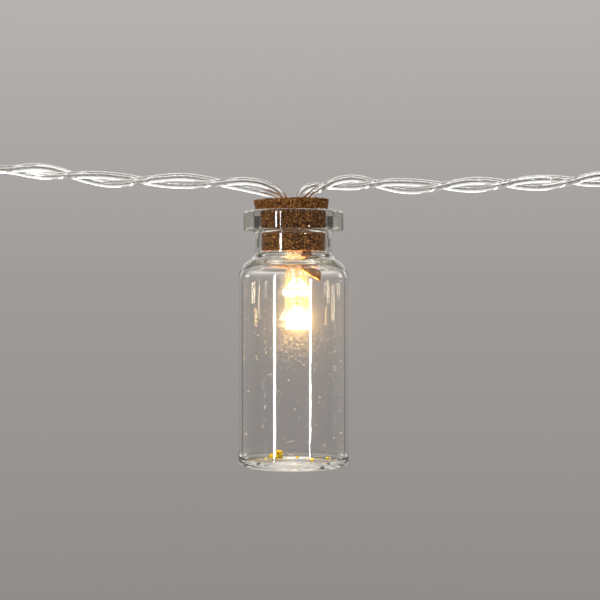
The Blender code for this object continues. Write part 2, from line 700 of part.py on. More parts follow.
def main():
    """Build the whole jar light."""
    clear_scene()
    glass = finish("clear_glass", (0.93, 0.95, 0.94), 0.02, alpha=0.3)
    cork = finish("agglomerated_cork", (0.42, 0.24, 0.11), 0.9)
    insulation = finish("clear_insulation", (0.86, 0.86, 0.84), 0.15, alpha=0.45)
    copper = finish("tinned_core", (0.72, 0.7, 0.66), 0.3, metallic=1.0)
    epoxy = finish("lamp_epoxy", (1.0, 0.86, 0.55), 0.05, alpha=0.5, glow=2.0)
    tinned = finish("lead_frame", (0.75, 0.73, 0.68), 0.25, metallic=1.0)
    solder = finish("solder", (0.7, 0.7, 0.7), 0.3, metallic=1.0)
    phosphor = finish("phosphor", (1.0, 0.75, 0.3), 0.5, glow=20.0)
    clear = finish("clear_plastic", (0.85, 0.86, 0.85), 0.12, alpha=0.5)
    brass = finish("contact_metal", (0.8, 0.68, 0.38), 0.25, metallic=1.0)

    add_cord(insulation, copper)
    add_cork(cork)
    add_glass_jar(glass)
    add_sleeve(clear)
    add_lens(epoxy)
    add_lead_frame(tinned, solder, phosphor)
    add_connector("plug", LEFT_ROUTE[0], -1, "plug_pin", clear, brass)
    add_connector("socket", RIGHT_ROUTE[-1], 1, "socket_contact", clear, brass)
    add_crumbs(cork)
    for obj in collection(PARTS).objects:
        if obj.type == "MESH":
            obj.data.shade_smooth()


main()
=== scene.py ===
"""Looks of the fairy light jar: a small corked glass vial with one warm lamp, hung on a clear twisted cord.

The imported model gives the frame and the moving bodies. Every visible piece is built here again with the
detail of the real one, in the same place and size as the solid that it stands for. Lengths are in metres.
"""

import logging
import math
from collections.abc import Callable, Sequence
from dataclasses import dataclass
from enum import Enum

import bmesh
import bpy
import numpy as np
from mathutils import Matrix, Vector, noise


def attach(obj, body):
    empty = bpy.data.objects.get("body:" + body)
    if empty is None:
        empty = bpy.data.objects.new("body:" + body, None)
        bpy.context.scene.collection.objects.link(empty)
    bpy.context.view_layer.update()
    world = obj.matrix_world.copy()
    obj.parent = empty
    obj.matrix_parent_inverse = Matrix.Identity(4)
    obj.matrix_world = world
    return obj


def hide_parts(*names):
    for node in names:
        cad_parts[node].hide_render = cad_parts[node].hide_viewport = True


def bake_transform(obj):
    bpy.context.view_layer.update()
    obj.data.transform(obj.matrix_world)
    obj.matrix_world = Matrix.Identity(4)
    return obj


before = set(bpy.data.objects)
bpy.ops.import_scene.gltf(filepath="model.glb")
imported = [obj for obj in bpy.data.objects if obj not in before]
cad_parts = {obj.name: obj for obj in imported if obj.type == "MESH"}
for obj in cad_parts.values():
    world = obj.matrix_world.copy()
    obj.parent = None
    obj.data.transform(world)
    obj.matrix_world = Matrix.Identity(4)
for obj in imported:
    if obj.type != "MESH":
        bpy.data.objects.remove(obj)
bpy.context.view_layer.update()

log = logging.getLogger("fairy_light_jar")

MM = 0.001
TURN = 2 * math.pi

Colour = tuple[float, float, float]
Profile = list[tuple[float, float]]


class Body(Enum):
    """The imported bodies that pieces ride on."""

    CORD = "cord"
    LAMP = "lamp"
    CORK = "cork"
    JAR = "jar"


class Slot(Enum):
    """The record's material slots."""

    INSULATION = "clear_insulation"
    CORE = "tinned_core"
    PLASTIC = "clear_plastic"
    CONTACT = "contact_metal"
    SLEEVE = "clear_sleeve"
    SOLDER = "solder"
    LEAD = "lead_frame"
    PHOSPHOR = "phosphor"
    EPOXY = "lamp_epoxy"
    CORK = "agglomerated_cork"
    GLASS = "clear_glass"
    CRUMB = "cork_crumb"


class Side(Enum):
    """The side of the jar that a cord or a connector is on, as the sign of its x."""

    LEFT = -1
    RIGHT = 1


# Materials


class Bench:
    """The node tree of one material, with short ways to add to it."""

    def __init__(self, name: str) -> None:
        """Start a material of this name around its Principled node."""
        self.material = bpy.data.materials.new(name)
        self.material.use_nodes = True
        self.nodes = self.material.node_tree.nodes
        self.links = self.material.node_tree.links
        self.shader = self.nodes["Principled BSDF"]
        self.output = self.nodes["Material Output"]

    def add(self, kind: str, **settings: object) -> bpy.types.Node:
        """Add a shader node.

        Args:
            kind: The node's type, without its ShaderNode prefix.
            settings: Properties to set on the node.

        Returns:
            The new node.
        """
        node = self.nodes.new("ShaderNode" + kind)
        for name, value in settings.items():
            setattr(node, name, value)
        return node

    def fix(self, **values: float | tuple[float, ...]) -> None:
        """Set constants on the Principled node.

        Args:
            values: Socket names, with an underscore for each space, and their values.
        """
        for name, value in values.items():
            self.shader.inputs[name.replace("_", " ")].default_value = value

    def feed(self, source: bpy.types.NodeSocket, target: str) -> None:
        """Link a socket to the named input of the Principled node."""
        self.links.new(source, self.shader.inputs[target])

    def places(self, stretch: Colour = (1.0, 1.0, 1.0)) -> bpy.types.NodeSocket:
        """Give the piece's own coordinates.

        Args:
            stretch: How much each axis is scaled.

        Returns:
            The vector socket.
        """
        source = self.add("TexCoord").outputs["Object"]
        if stretch == (1.0, 1.0, 1.0):
            return source
        scaled = self.add("Mapping")
        scaled.inputs["Scale"].default_value = stretch
        self.links.new(source, scaled.inputs["Vector"])
        return scaled.outputs["Vector"]

    def noise(self, at: bpy.types.NodeSocket, scale: float, detail: float = 2.0) -> bpy.types.NodeSocket:
        """Add a noise pattern.

        Args:
            at: Where the pattern is read.
            scale: Features for each metre.
            detail: Octaves of finer noise.

        Returns:
            The factor socket.
        """
        made = self.add("TexNoise")
        made.inputs["Scale"].default_value = scale
        made.inputs["Detail"].default_value = detail
        self.links.new(at, made.inputs["Vector"])
        return made.outputs["Fac"]

    def cells(self, at: bpy.types.NodeSocket, scale: float, output: str = "Distance") -> bpy.types.NodeSocket:
        """Add a pattern of cells.

        Args:
            at: Where the pattern is read.
            scale: Cells for each metre.
            output: Distance to the middle of the cell, or its Color.

        Returns:
            The chosen socket.
        """
        made = self.add("TexVoronoi")
        made.inputs["Scale"].default_value = scale
        self.links.new(at, made.inputs["Vector"])
        return made.outputs[output]

    def attribute(self, name: str) -> bpy.types.NodeSocket:
        """Give a number that the mesh stores at its points."""
        return self.add("Attribute", attribute_name=name).outputs["Fac"]

    def light_up(self) -> None:
        """Let the surface glow with the light that the mesh stores at its points."""
        self.feed(self.add("Attribute", attribute_name="light").outputs["Color"], "Emission Color")
        self.fix(Emission_Strength=1.0)
        self.material.cycles.emission_sampling = "NONE"

    def ramp(self, factor: bpy.types.NodeSocket, stops: Sequence[tuple[float, Colour]]) -> bpy.types.NodeSocket:
        """Turn a factor into a colour.

        Args:
            factor: The socket to read.
            stops: Positions and their colours, in order.

        Returns:
            The colour socket.
        """
        made = self.add("ValToRGB")
        band = made.color_ramp.elements
        while len(band) < len(stops):
            band.new(0.5)
        for element, (place, colour) in zip(band, stops):
            element.position = place
            element.color = (*colour, 1.0)
        self.links.new(factor, made.inputs["Fac"])
        return made.outputs["Color"]

    def span(
        self, factor: bpy.types.NodeSocket, low: float, high: float, start: float = 0.0, end: float = 1.0
    ) -> bpy.types.NodeSocket:
        """Map a factor on to a range.

        Args:
            factor: The socket to read.
            low: Result at start.
            high: Result at end.
            start: Factor that gives low.
            end: Factor that gives high.

        Returns:
            The result socket.
        """
        made = self.add("MapRange")
        for name, value in (("From Min", start), ("From Max", end), ("To Min", low), ("To Max", high)):
            made.inputs[name].default_value = value
        self.links.new(factor, made.inputs["Value"])
        return made.outputs["Result"]

    def blend(
        self,
        kind: str,
        share: float | bpy.types.NodeSocket,
        first: bpy.types.NodeSocket,
        second: bpy.types.NodeSocket | Colour,
    ) -> bpy.types.NodeSocket:
        """Combine two colours.

        Args:
            kind: Blend type, such as MIX or MULTIPLY.
            share: How much of the second counts.
            first: The colour underneath.
            second: The colour on top.

        Returns:
            The colour socket.
        """
        made = self.add("Mix", data_type="RGBA", blend_type=kind)
        if isinstance(share, float):
            made.inputs["Factor"].default_value = share
        else:
            self.links.new(share, made.inputs["Factor"])
        self.links.new(first, made.inputs[6])
        if isinstance(second, tuple):
            made.inputs[7].default_value = (*second, 1.0)
        else:
            self.links.new(second, made.inputs[7])
        return made.outputs[2]

    def maths(
        self, operation: str, first: bpy.types.NodeSocket, second: float | bpy.types.NodeSocket
    ) -> bpy.types.NodeSocket:
        """Combine two numbers.

        Args:
            operation: The Math node's operation.
            first: The first number.
            second: The second number.

        Returns:
            The result socket.
        """
        made = self.add("Math", operation=operation)
        self.links.new(first, made.inputs[0])
        if isinstance(second, float):
            made.inputs[1].default_value = second
        else:
            self.links.new(second, made.inputs[1])
        return made.outputs["Value"]

    def bump(self, height: bpy.types.NodeSocket, distance: float, strength: float = 1.0) -> None:
        """Raise the surface by a height pattern.

        Args:
            height: The pattern.
            distance: How far a height of one stands up.
            strength: Share of the effect.
        """
        made = self.add("Bump")
        made.inputs["Distance"].default_value = distance
        made.inputs["Strength"].default_value = strength
        self.links.new(height, made.inputs["Height"])
        self.links.new(made.outputs["Normal"], self.shader.inputs["Normal"])


@dataclass(frozen=True)
class Finish:
    """A finish, built once as a material and shared by the pieces that have it."""

    name: str

    def dress(self, bench: Bench) -> None:
        """Build the nodes of the finish on its bench."""
        raise NotImplementedError

    def material(self) -> bpy.types.Material:
        """Give the finish's material.

        Returns:
            The material, built at the first call.
        """
        found = bpy.data.materials.get(self.name)
        if found is None:
            bench = Bench(self.name)
            self.dress(bench)
            found = bench.material
        return found


@dataclass(frozen=True)
class ClearPlastic(Finish):
    """Clear soft plastic, which may have the lamp's light painted on it as a glow."""

    tint: Colour = (0.965, 0.97, 0.965)
    ior: float = 1.52
    smooth: float = 0.015
    rough: float = 0.07
    ripple: float = 0.006 * MM
    ripple_scale: float = 700.0
    lit: bool = False

    def dress(self, bench: Bench) -> None:
        """Build clear plastic with a slightly uneven skin, and a painted glow of the lamp's light if lit."""
        bench.fix(Base_Color=(*self.tint, 1.0), IOR=self.ior, Transmission_Weight=1.0)
        at = bench.places()
        skin = bench.noise(at, self.ripple_scale, 3.0)
        bench.feed(bench.span(skin, self.smooth, self.rough), "Roughness")
        bench.bump(skin, self.ripple)
        if self.lit:
            bench.light_up()


@dataclass(frozen=True)
class BlownGlass(Finish):
    """Thin blown glass, clear to light that falls on what is inside it."""

    tint: Colour = (1.0, 0.995, 0.992)
    ior: float = 1.5
    draw: float = 0.0012 * MM
    body: Colour = (0.39, 0.364, 0.114)
    density: float = 50.0
    draw_scale: float = 450.0

    def dress(self, bench: Bench) -> None:
        """Build glass with the faint upright lines of its drawing."""
        bench.fix(Base_Color=(*self.tint, 1.0), IOR=self.ior, Transmission_Weight=1.0, Roughness=0.0)
        lines = bench.noise(bench.places((1.0, 1.0, 0.06)), self.draw_scale, 2.0)
        bench.bump(lines, self.draw)
        path = bench.add("LightPath")
        lit_through = bench.maths("MAXIMUM", path.outputs["Is Shadow Ray"], path.outputs["Is Diffuse Ray"])
        clear = bench.add("BsdfTransparent")
        clear.inputs["Color"].default_value = (0.93, 0.94, 0.935, 1.0)
        mixed = bench.add("MixShader")
        bench.links.new(lit_through, mixed.inputs["Fac"])
        bench.links.new(bench.shader.outputs["BSDF"], mixed.inputs[1])
        bench.links.new(clear.outputs["BSDF"], mixed.inputs[2])
        bench.links.new(mixed.outputs["Shader"], bench.output.inputs["Surface"])
        thick = bench.add("VolumeAbsorption")
        thick.inputs["Color"].default_value = (*self.body, 1.0)
        thick.inputs["Density"].default_value = self.density
        bench.links.new(thick.outputs["Volume"], bench.output.inputs["Volume"])


@dataclass(frozen=True)
class GranularCork(Finish):
    """Pressed cork: granules of many browns with dark seams between them."""

    black: Colour = (0.012, 0.006, 0.003)
    dark: Colour = (0.06, 0.022, 0.006)
    middle: Colour = (0.15, 0.062, 0.016)
    pale: Colour = (0.3, 0.13, 0.033)
    orange: Colour = (0.6, 0.24, 0.05)
    seam: Colour = (0.02, 0.008, 0.003)
    pore_scale: float = 5200.0
    fleck_scale: float = 4300.0
    fine_scale: float = 7500.0

    def dress(self, bench: Bench) -> None:
        """Build cork from the granules that the mesh stores, with flecks and pores in them."""
        at = bench.places()
        fleck = bench.add("SeparateColor")
        bench.links.new(bench.cells(at, self.fleck_scale, "Color"), fleck.inputs["Color"])
        fine = bench.add("SeparateColor")
        bench.links.new(bench.cells(at, self.fine_scale, "Color"), fine.inputs["Color"])
        shade = bench.blend("MIX", 0.25, fleck.outputs["Red"], bench.attribute("grain"))
        stops = ((0.12, self.black), (0.25, self.dark), (0.5, self.middle), (0.72, self.pale), (0.92, self.orange))
        colour = bench.ramp(shade, stops)
        spots = bench.ramp(
            fine.outputs["Green"], ((0.1, (0.25, 0.22, 0.2)), (0.45, (1.0, 0.98, 0.95)), (0.9, (2.5, 2.6, 2.9)))
        )
        colour = bench.blend("MULTIPLY", 1.0, colour, spots)
        colour = bench.blend("MIX", bench.span(bench.attribute("crevice"), 0.0, 0.75), colour, self.seam)
        bench.feed(colour, "Base Color")
        pores = bench.noise(at, self.pore_scale, 3.0)
        bench.feed(bench.span(pores, 0.75, 0.98), "Roughness")
        bench.fix(Specular_IOR_Level=0.12)
        bench.bump(pores, 0.05 * MM, 0.8)


@dataclass(frozen=True)
class Metal(Finish):
    """A worn metal with its own colour and brightness."""

    colour: Colour = (0.75, 0.72, 0.67)
    dull: Colour = (0.5, 0.46, 0.4)
    smooth: float = 0.18
    rough: float = 0.42
    scale: float = 1800.0
    relief: float = 0.004 * MM
    stretch: Colour = (1.0, 1.0, 1.0)

    def dress(self, bench: Bench) -> None:
        """Build metal with clouded tarnish and fine marks."""
        bench.fix(Metallic=1.0)
        cloud = bench.noise(bench.places(self.stretch), self.scale, 4.0)
        bench.feed(bench.ramp(cloud, ((0.35, self.dull), (0.62, self.colour))), "Base Color")
        bench.feed(bench.span(cloud, self.rough, self.smooth, 0.3, 0.7), "Roughness")
        bench.bump(cloud, self.relief)


@dataclass(frozen=True)
class LitEpoxy(Finish):
    """Clear epoxy that glows by as much as the mesh stores at each point."""

    tint: Colour = (1.0, 0.95, 0.84)
    limb: float = 0.3

    def dress(self, bench: Bench) -> None:
        """Build epoxy with light in it, dimmer towards its outline."""
        bench.fix(Base_Color=(*self.tint, 1.0), IOR=1.52, Transmission_Weight=1.0)
        haze = bench.noise(bench.places(), 900.0, 3.0)
        bench.feed(bench.span(haze, 0.02, 0.12), "Roughness")
        bench.light_up()
        limb = bench.add("LayerWeight").outputs["Facing"]
        bench.feed(bench.span(limb, 1.0, self.limb, 0.45, 0.95), "Emission Strength")


@dataclass(frozen=True)
class Phosphor(Finish):
    """Glowing phosphor, grainy up close; the same glow also makes the painted cone of light in the lens."""

    light: Colour = (1.0, 0.86, 0.56)
    low: float = 9.0
    high: float = 15.0

    def dress(self, bench: Bench) -> None:
        """Build a grainy glow."""
        bench.fix(Base_Color=(0.9, 0.62, 0.2, 1.0), Roughness=0.6, Emission_Color=(*self.light, 1.0))
        grain = bench.noise(bench.places(), 4000.0, 2.0)
        bench.feed(bench.span(grain, self.low, self.high), "Emission Strength")


@dataclass(frozen=True)
class CorkGranule(Finish):
    """Loose granules of cork that the lamp shines on and into."""

    pit: Colour = (0.14, 0.045, 0.006)
    dark: Colour = (0.66, 0.31, 0.008)
    pale: Colour = (1.0, 0.8, 0.02)

    def dress(self, bench: Bench) -> None:
        """Build bright granules with darker pits."""
        at = bench.places()
        shade = bench.noise(at, 2600.0, 3.0)
        colour = bench.ramp(shade, ((0.3, self.pit), (0.42, self.dark), (0.54, self.pale)))
        bench.feed(colour, "Base Color")
        bench.fix(Roughness=0.75, Subsurface_Weight=0.35, Subsurface_Radius=(1.0, 0.45, 0.1), Subsurface_Scale=0.4 * MM)
        bench.bump(bench.noise(at, 6000.0, 3.0), 0.06 * MM)


@dataclass(frozen=True)
class PaleDust(Finish):
    """Dust and lint, with the lamp's light painted on it as a glow."""

    colour: Colour = (0.92, 0.86, 0.76)

    def dress(self, bench: Bench) -> None:
        """Build pale dust, some of it browner, with the lamp's light painted on it as a glow."""
        shade = bench.noise(bench.places(), 700.0, 1.0)
        bench.feed(bench.ramp(shade, ((0.4, (0.8, 0.62, 0.4)), (0.55, self.colour))), "Base Color")
        bench.fix(Roughness=0.8)
        bench.light_up()


@dataclass(frozen=True)
class StudioPaper(Finish):
    """The paper round the set, evenly lit: pale below, grey behind, lighter again above."""

    floor: Colour = (0.72, 0.69, 0.65)
    foot: Colour = (0.265, 0.247, 0.24)
    level: Colour = (0.35, 0.33, 0.322)
    head: Colour = (0.47, 0.45, 0.445)
    ceiling: Colour = (0.62, 0.61, 0.6)

    def dress(self, bench: Bench) -> None:
        """Build a glow that depends only on the height of the direction from the jar."""
        aim = bench.add("VectorMath", operation="NORMALIZE")
        bench.links.new(bench.places(), aim.inputs[0])
        parts = bench.add("SeparateXYZ")
        bench.links.new(aim.outputs["Vector"], parts.inputs["Vector"])
        rise = bench.span(parts.outputs["Z"], 0.0, 1.0, -1.0, 1.0)
        colour = bench.ramp(
            rise,
            ((0.2, self.floor), (0.33, self.foot), (0.5, self.level), (0.62, self.head), (0.76, self.ceiling)),
        )
        glow = bench.add("Emission")
        bench.links.new(colour, glow.inputs["Color"])
        bench.links.new(glow.outputs["Emission"], bench.output.inputs["Surface"])
        bench.material.cycles.emission_sampling = "NONE"


@dataclass(frozen=True)
class StudioCard(Finish):
    """Card of one even shade, dark where the glass should read dark and white where it should shine."""

    shade: Colour

    def dress(self, bench: Bench) -> None:
        """Build an even surface."""
        glow = bench.add("Emission")
        glow.inputs["Color"].default_value = (*self.shade, 1.0)
        bench.links.new(glow.outputs["Emission"], bench.output.inputs["Surface"])
        bench.material.cycles.emission_sampling = "NONE"


# The wire insulation has the lamp's light painted on it as a glow, brightest near the lamp
INSULATION = ClearPlastic("clear_wire_insulation", lit=True)
MOULDED_CLEAR = ClearPlastic("clear_moulded_plastic", tint=(0.93, 0.94, 0.935), smooth=0.04, rough=0.14)
# The sleeve has the lamp's light painted on it as a glow
SHRUNK_SLEEVE = ClearPlastic("clear_shrunk_sleeve", tint=(0.98, 0.95, 0.88), smooth=0.1, rough=0.25, lit=True)
GLASS = BlownGlass("blown_clear_glass")
CORK = GranularCork("granular_cork")
TORN_CORK = GranularCork(
    "torn_cork",
    black=(0.02, 0.01, 0.004),
    dark=(0.06, 0.026, 0.01),
    middle=(0.15, 0.068, 0.02),
    pale=(0.3, 0.14, 0.04),
    orange=(0.65, 0.3, 0.05),
)
TINNED_STRANDS = Metal(
    "tinned_strands", colour=(0.88, 0.87, 0.84), dull=(0.78, 0.76, 0.72), smooth=0.3, rough=0.42, relief=0.0002 * MM
)
PIN_BRASS = Metal("pin_brass", colour=(0.83, 0.66, 0.36), dull=(0.6, 0.44, 0.2), stretch=(0.2, 1.0, 1.0))
BRIGHT_SOLDER = Metal("bright_solder", colour=(0.78, 0.77, 0.75), dull=(0.55, 0.54, 0.52), scale=2600.0)
TINNED_LEAD = Metal("tinned_lead", colour=(0.85, 0.8, 0.62), dull=(0.62, 0.56, 0.4))
BOND_GOLD = Metal("bond_gold", colour=(0.95, 0.72, 0.3), dull=(0.85, 0.6, 0.22), smooth=0.1, rough=0.2)
LENS_EPOXY = LitEpoxy("lens_epoxy")
# The joint resin has the lamp's light painted on it as a glow
JOINT_RESIN = LitEpoxy("joint_resin", tint=(1.0, 0.93, 0.8))
# The cone is a painted glow that stands in for the light seen in the lens; the real lamp has no such part
CONE_OF_LIGHT = Phosphor("cone_of_light", low=10.0, high=14.0)
CHIP_PHOSPHOR = Phosphor("chip_phosphor", low=9.0, high=14.0)
LOOSE_CORK = CorkGranule("loose_cork_granule")
DUST = PaleDust("pale_dust")
PAPER = StudioPaper("studio_paper")
BLACK_CARD = StudioCard("black_card", (0.08, 0.078, 0.076))
WHITE_CARD = StudioCard("white_card", (0.85, 0.83, 0.8))
BRIGHT_CARD = StudioCard("bright_card", (1.5, 1.47, 1.42))
GREY_CARD = StudioCard("grey_card", (0.35, 0.33, 0.322))
FOOT_CARD = StudioCard("foot_card", (1.0, 0.96, 0.9))


# Shapes


def arc(centre: tuple[float, float], radius: float, start: float, end: float, steps: int) -> Profile:
    """Give points of an arc in the profile plane.

    Args:
        centre: Middle of the arc.
        radius: Its radius.
        start: First angle in degrees.
        end: Last angle in degrees.
        steps: Number of pieces.

    Returns:
        The points, both ends included.
    """
    angles = [math.radians(start + (end - start) * i / steps) for i in range(steps + 1)]
    return [(centre[0] + radius * math.cos(a), centre[1] + radius * math.sin(a)) for a in angles]


def even_steps(profile: Profile, step: float) -> Profile:
    """Add points to a profile where its straight runs are longer than a step.

    Args:
        profile: Points of (radius, height).
        step: Longest run wanted.

    Returns:
        The finer profile, with every point of the old one.
    """
    finer: Profile = []
    for (r0, z0), (r1, z1) in zip(profile, profile[1:]):
        count = max(1, math.ceil(math.hypot(r1 - r0, z1 - z0) / step))
        finer += [(r0 + (r1 - r0) * i / count, z0 + (z1 - z0) * i / count) for i in range(count)]
    return [*finer, profile[-1]]


def skin(
    name: str, rings: np.ndarray, start: Sequence[float] | None = None, end: Sequence[float] | None = None,
    loop: bool = False,
) -> bpy.types.Mesh:
    """Cover rings of points with faces that look outwards.

    Args:
        name: Name of the mesh.
        rings: Array of ring, point round the ring, and axis.
        start: Point that closes the first ring, if any.
        end: Point that closes the last ring, if any.
        loop: True if the last ring joins the first.

    Returns:
        The mesh, shaded smooth.
    """
    count, around = rings.shape[:2]
    points = [tuple(p) for p in rings.reshape(-1, 3)]
    faces = []
    for i in range(count if loop else count - 1):
        here, there = i * around, (i + 1) % count * around
        faces += [(here + j, here + (j + 1) % around, there + (j + 1) % around, there + j) for j in range(around)]
    for pole, first in ((start, 0), (end, (count - 1) * around)):
        if pole is not None:
            faces += [(first + j, first + (j + 1) % around, len(points)) for j in range(around)]
            points.append(tuple(pole))
    mesh = bpy.data.meshes.new(name)
    mesh.from_pydata(points, [], faces)
    shape = bmesh.new()
    shape.from_mesh(mesh)
    bmesh.ops.recalc_face_normals(shape, faces=shape.faces)
    shape.to_mesh(mesh)
    shape.free()
    mesh.shade_smooth()
    return mesh


def turned(name: str, profile: Profile, around: int, loop: bool = False, x: float = 0.0) -> bpy.types.Mesh:
    """Turn a profile about an upright axis.

    Args:
        name: Name of the mesh.
        profile: Points of (radius, height); an end on the axis closes the shape.
        around: Points round each ring.
        loop: True if the profile closes on itself instead.
        x: Where the axis stands.

    Returns:
        The mesh.
    """
    angles = np.linspace(0.0, TURN, around, endpoint=False)
    rows = np.array(profile)
    poles = [(x, 0.0, rows[i, 1]) if not loop and rows[i, 0] < 1e-9 else None for i in (0, -1)]
    rows = rows[rows[:, 0] > 1e-9]
    rings = np.stack(
        [
            x + rows[:, :1] * np.cos(angles),
            rows[:, :1] * np.sin(angles),
            np.repeat(rows[:, 1:], around, axis=1),
        ],
        axis=2,
    )
    return skin(name, rings, *poles, loop=loop)


def tube(name: str, path: np.ndarray, radii: np.ndarray | float, around: int) -> bpy.types.Mesh:
    """Make a closed tube along a path.

    Args:
        name: Name of the mesh.
        path: Its points, one a row.
        radii: One radius, or an array of ring and point round the ring.
        around: Points round each ring.

    Returns:
        The mesh, with flat ends.
    """
    ahead = np.gradient(path, axis=0)
    ahead /= np.linalg.norm(ahead, axis=1)[:, None]
    side = np.cross(ahead[0], (0.0, 1.0, 0.0) if abs(ahead[0][1]) < 0.9 else (1.0, 0.0, 0.0))
    angles = np.linspace(0.0, TURN, around, endpoint=False)
    radii = np.broadcast_to(radii, (len(path), around))
    rings = np.empty((len(path), around, 3))
    for i, way in enumerate(ahead):
        side = side - (side @ way) * way
        side /= np.linalg.norm(side)
        other = np.cross(way, side)
        rings[i] = path[i] + radii[i][:, None] * (np.outer(np.cos(angles), side) + np.outer(np.sin(angles), other))
    mesh = skin(name, rings, path[0], path[-1])
    mesh.set_sharp_from_angle(angle=math.radians(60))
    return mesh


def store(mesh: bpy.types.Mesh, name: str, values: Sequence[float]) -> None:
    """Keep one number for each point of a mesh, for its finish to read."""
    mesh.attributes.new(name, "FLOAT", "POINT").data.foreach_set("value", np.asarray(values, np.float32))


def places_of(mesh: bpy.types.Mesh) -> np.ndarray:
    """Give the points of a mesh, one a row."""
    return np.array([v.co for v in mesh.vertices])


def paint_light(mesh: bpy.types.Mesh, levels: Sequence[tuple[float, Colour]]) -> None:
    """Keep the light that leaves each point of a mesh, for its finish to read.

    Args:
        mesh: The mesh to paint.
        levels: Heights in millimetres, rising, and the light at each.
    """
    heights = places_of(mesh)[:, 2] / MM
    marks = [level[0] for level in levels]
    light = [np.interp(heights, marks, [level[1][band] for level in levels]) for band in range(3)]
    rows = np.stack([*light, np.ones(len(heights))], axis=1).astype(np.float32)
    mesh.attributes.new("light", "FLOAT_COLOR", "POINT").data.foreach_set("color", rows.ravel())


def reshape(mesh: bpy.types.Mesh, change: Callable[[Vector, Vector], Vector]) -> None:
    """Move each point of a mesh.

    Args:
        mesh: The mesh to change.
        change: Takes a point and its normal, and gives its new place.
    """
    moved = [change(v.co.copy(), v.normal.copy()) for v in mesh.vertices]
    for vert, place in zip(mesh.vertices, moved):
        vert.co = place
    mesh.update()


def joined(name: str, meshes: Sequence[bpy.types.Mesh]) -> bpy.types.Mesh:
    """Put several meshes into one.

    Args:
        name: Name of the new mesh.
        meshes: What it takes in; they are removed.

    Returns:
        The new mesh, shaded smooth.
    """
    shape = bmesh.new()
    for mesh in meshes:
        shape.from_mesh(mesh)
        bpy.data.meshes.remove(mesh)
    made = bpy.data.meshes.new(name)
    shape.to_mesh(made)
    shape.free()
    made.shade_smooth()
    return made


def plate(name: str, outline: Profile, thickness: float, rounding: float, place: Matrix) -> bpy.types.Mesh:
    """Make a flat plate with rounded edges.

    Args:
        name: Name of the mesh.
        outline: Its corners, as (x, z).
        thickness: Its size along y.
        rounding: Width of the rounding.
        place: Where it stands.

    Returns:
        The mesh.
    """
    shape = bmesh.new()
    face = shape.faces.new([shape.verts.new((x, -thickness / 2, z)) for x, z in outline])
    grown = bmesh.ops.extrude_face_region(shape, geom=[face])["geom"]
    bmesh.ops.translate(
        shape, vec=(0.0, thickness, 0.0), verts=[item for item in grown if isinstance(item, bmesh.types.BMVert)]
    )
    bmesh.ops.bevel(shape, geom=shape.edges[:], offset=rounding, segments=3, profile=0.5, affect="EDGES")
    bmesh.ops.recalc_face_normals(shape, faces=shape.faces)
    shape.transform(place)
    mesh = bpy.data.meshes.new(name)
    shape.to_mesh(mesh)
    shape.free()
    mesh.shade_smooth()
    return mesh


def lump(name: str, centre: Vector, radius: float, seed: float, fine: int = 3) -> bpy.types.Mesh:
    """Make a craggy lump.

    Args:
        name: Name of the mesh.
        centre: Its middle.
        radius: Its mean radius.
        seed: Chooses its shape.
        fine: Rounds of subdivision.

    Returns:
        The mesh.
    """
    shape = bmesh.new()
    bmesh.ops.create_icosphere(shape, subdivisions=fine, radius=radius)
    for vert in shape.verts:
        way = vert.co / radius
        broad = noise.noise(way * 1.4 + Vector((seed, 0.0, 0.0)))
        sharp = noise.noise(way * 3.6 + Vector((0.0, seed, 0.0)))
        vert.co = centre + vert.co * (1.0 + 0.35 * broad + 0.22 * sharp)
    mesh = bpy.data.meshes.new(name)
    shape.to_mesh(mesh)
    shape.free()
    mesh.shade_smooth()
    return mesh


def place_piece(
    mesh: bpy.types.Mesh, finish: Finish, body: Body | None, replaced: Sequence[str] = ()
) -> bpy.types.Object:
    """Make a piece of the jar light from a mesh.

    Args:
        mesh: Its mesh, in the row frame; the piece takes its name.
        finish: Its finish.
        body: The body that it rides on, or None to leave it on no body.
        replaced: The CAD nodes that it stands for.

    Returns:
        The piece.
    """
    piece = bpy.data.objects.new(mesh.name, mesh)
    bpy.context.scene.collection.objects.link(piece)
    mesh.materials.append(finish.material())
    if replaced:
        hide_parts(*replaced)
    if body is not None:
        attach(piece, body.value)
    log.info("%s: %d faces", piece.name, len(mesh.polygons))
    return piece


# Cord and connectors

# Each side's route as the source has it: x and z in millimetres, and half turns of the twist
LEFT_ROUTE = (
    (-61.0, 3.00, 0.00),
    (-57.3, 2.88, 0.00),
    (-49.7, 2.48, 0.55),
    (-43.9, 1.72, 1.00),
    (-36.3, 0.86, 1.52),
    (-29.7, 0.68, 2.00),
    (-20.7, 0.60, 2.58),
    (-14.1, 0.22, 3.00),
    (-9.3, -0.10, 3.33),
    (-5.7, -0.85, 3.58),
    (-3.4, -1.90, 3.75),
    (-1.8, -3.50, 3.90),
    (-0.9, -5.60, 4.00),
    (-0.81, -8.00, 4.00),
    (-0.81, -13.60, 4.00),
    (-0.11, -15.95, 4.00),
    (-0.11, -16.75, 4.00),
)
RIGHT_ROUTE = (
    (63.6, 1.07, 5.50),
    (62.6, 1.05, 5.50),
    (61.3, 1.00, 5.42),
    (56.3, 0.68, 5.00),
    (49.1, 0.24, 4.46),
    (42.9, 0.14, 4.00),
    (36.2, -0.12, 3.47),
    (30.3, -0.30, 3.00),
    (23.5, -0.44, 2.50),
    (16.8, 0.06, 2.00),
    (11.3, 0.35, 1.45),
    (6.7, -0.20, 1.00),
    (3.4, -1.25, 0.60),
    (1.9, -2.50, 0.38),
    (1.25, -3.90, 0.20),
    (0.9, -5.60, 0.00),
    (0.81, -8.00, 0.00),
    (0.81, -13.60, 0.00),
    (1.51, -15.95, 0.00),
    (1.51, -16.75, 0.00),
)


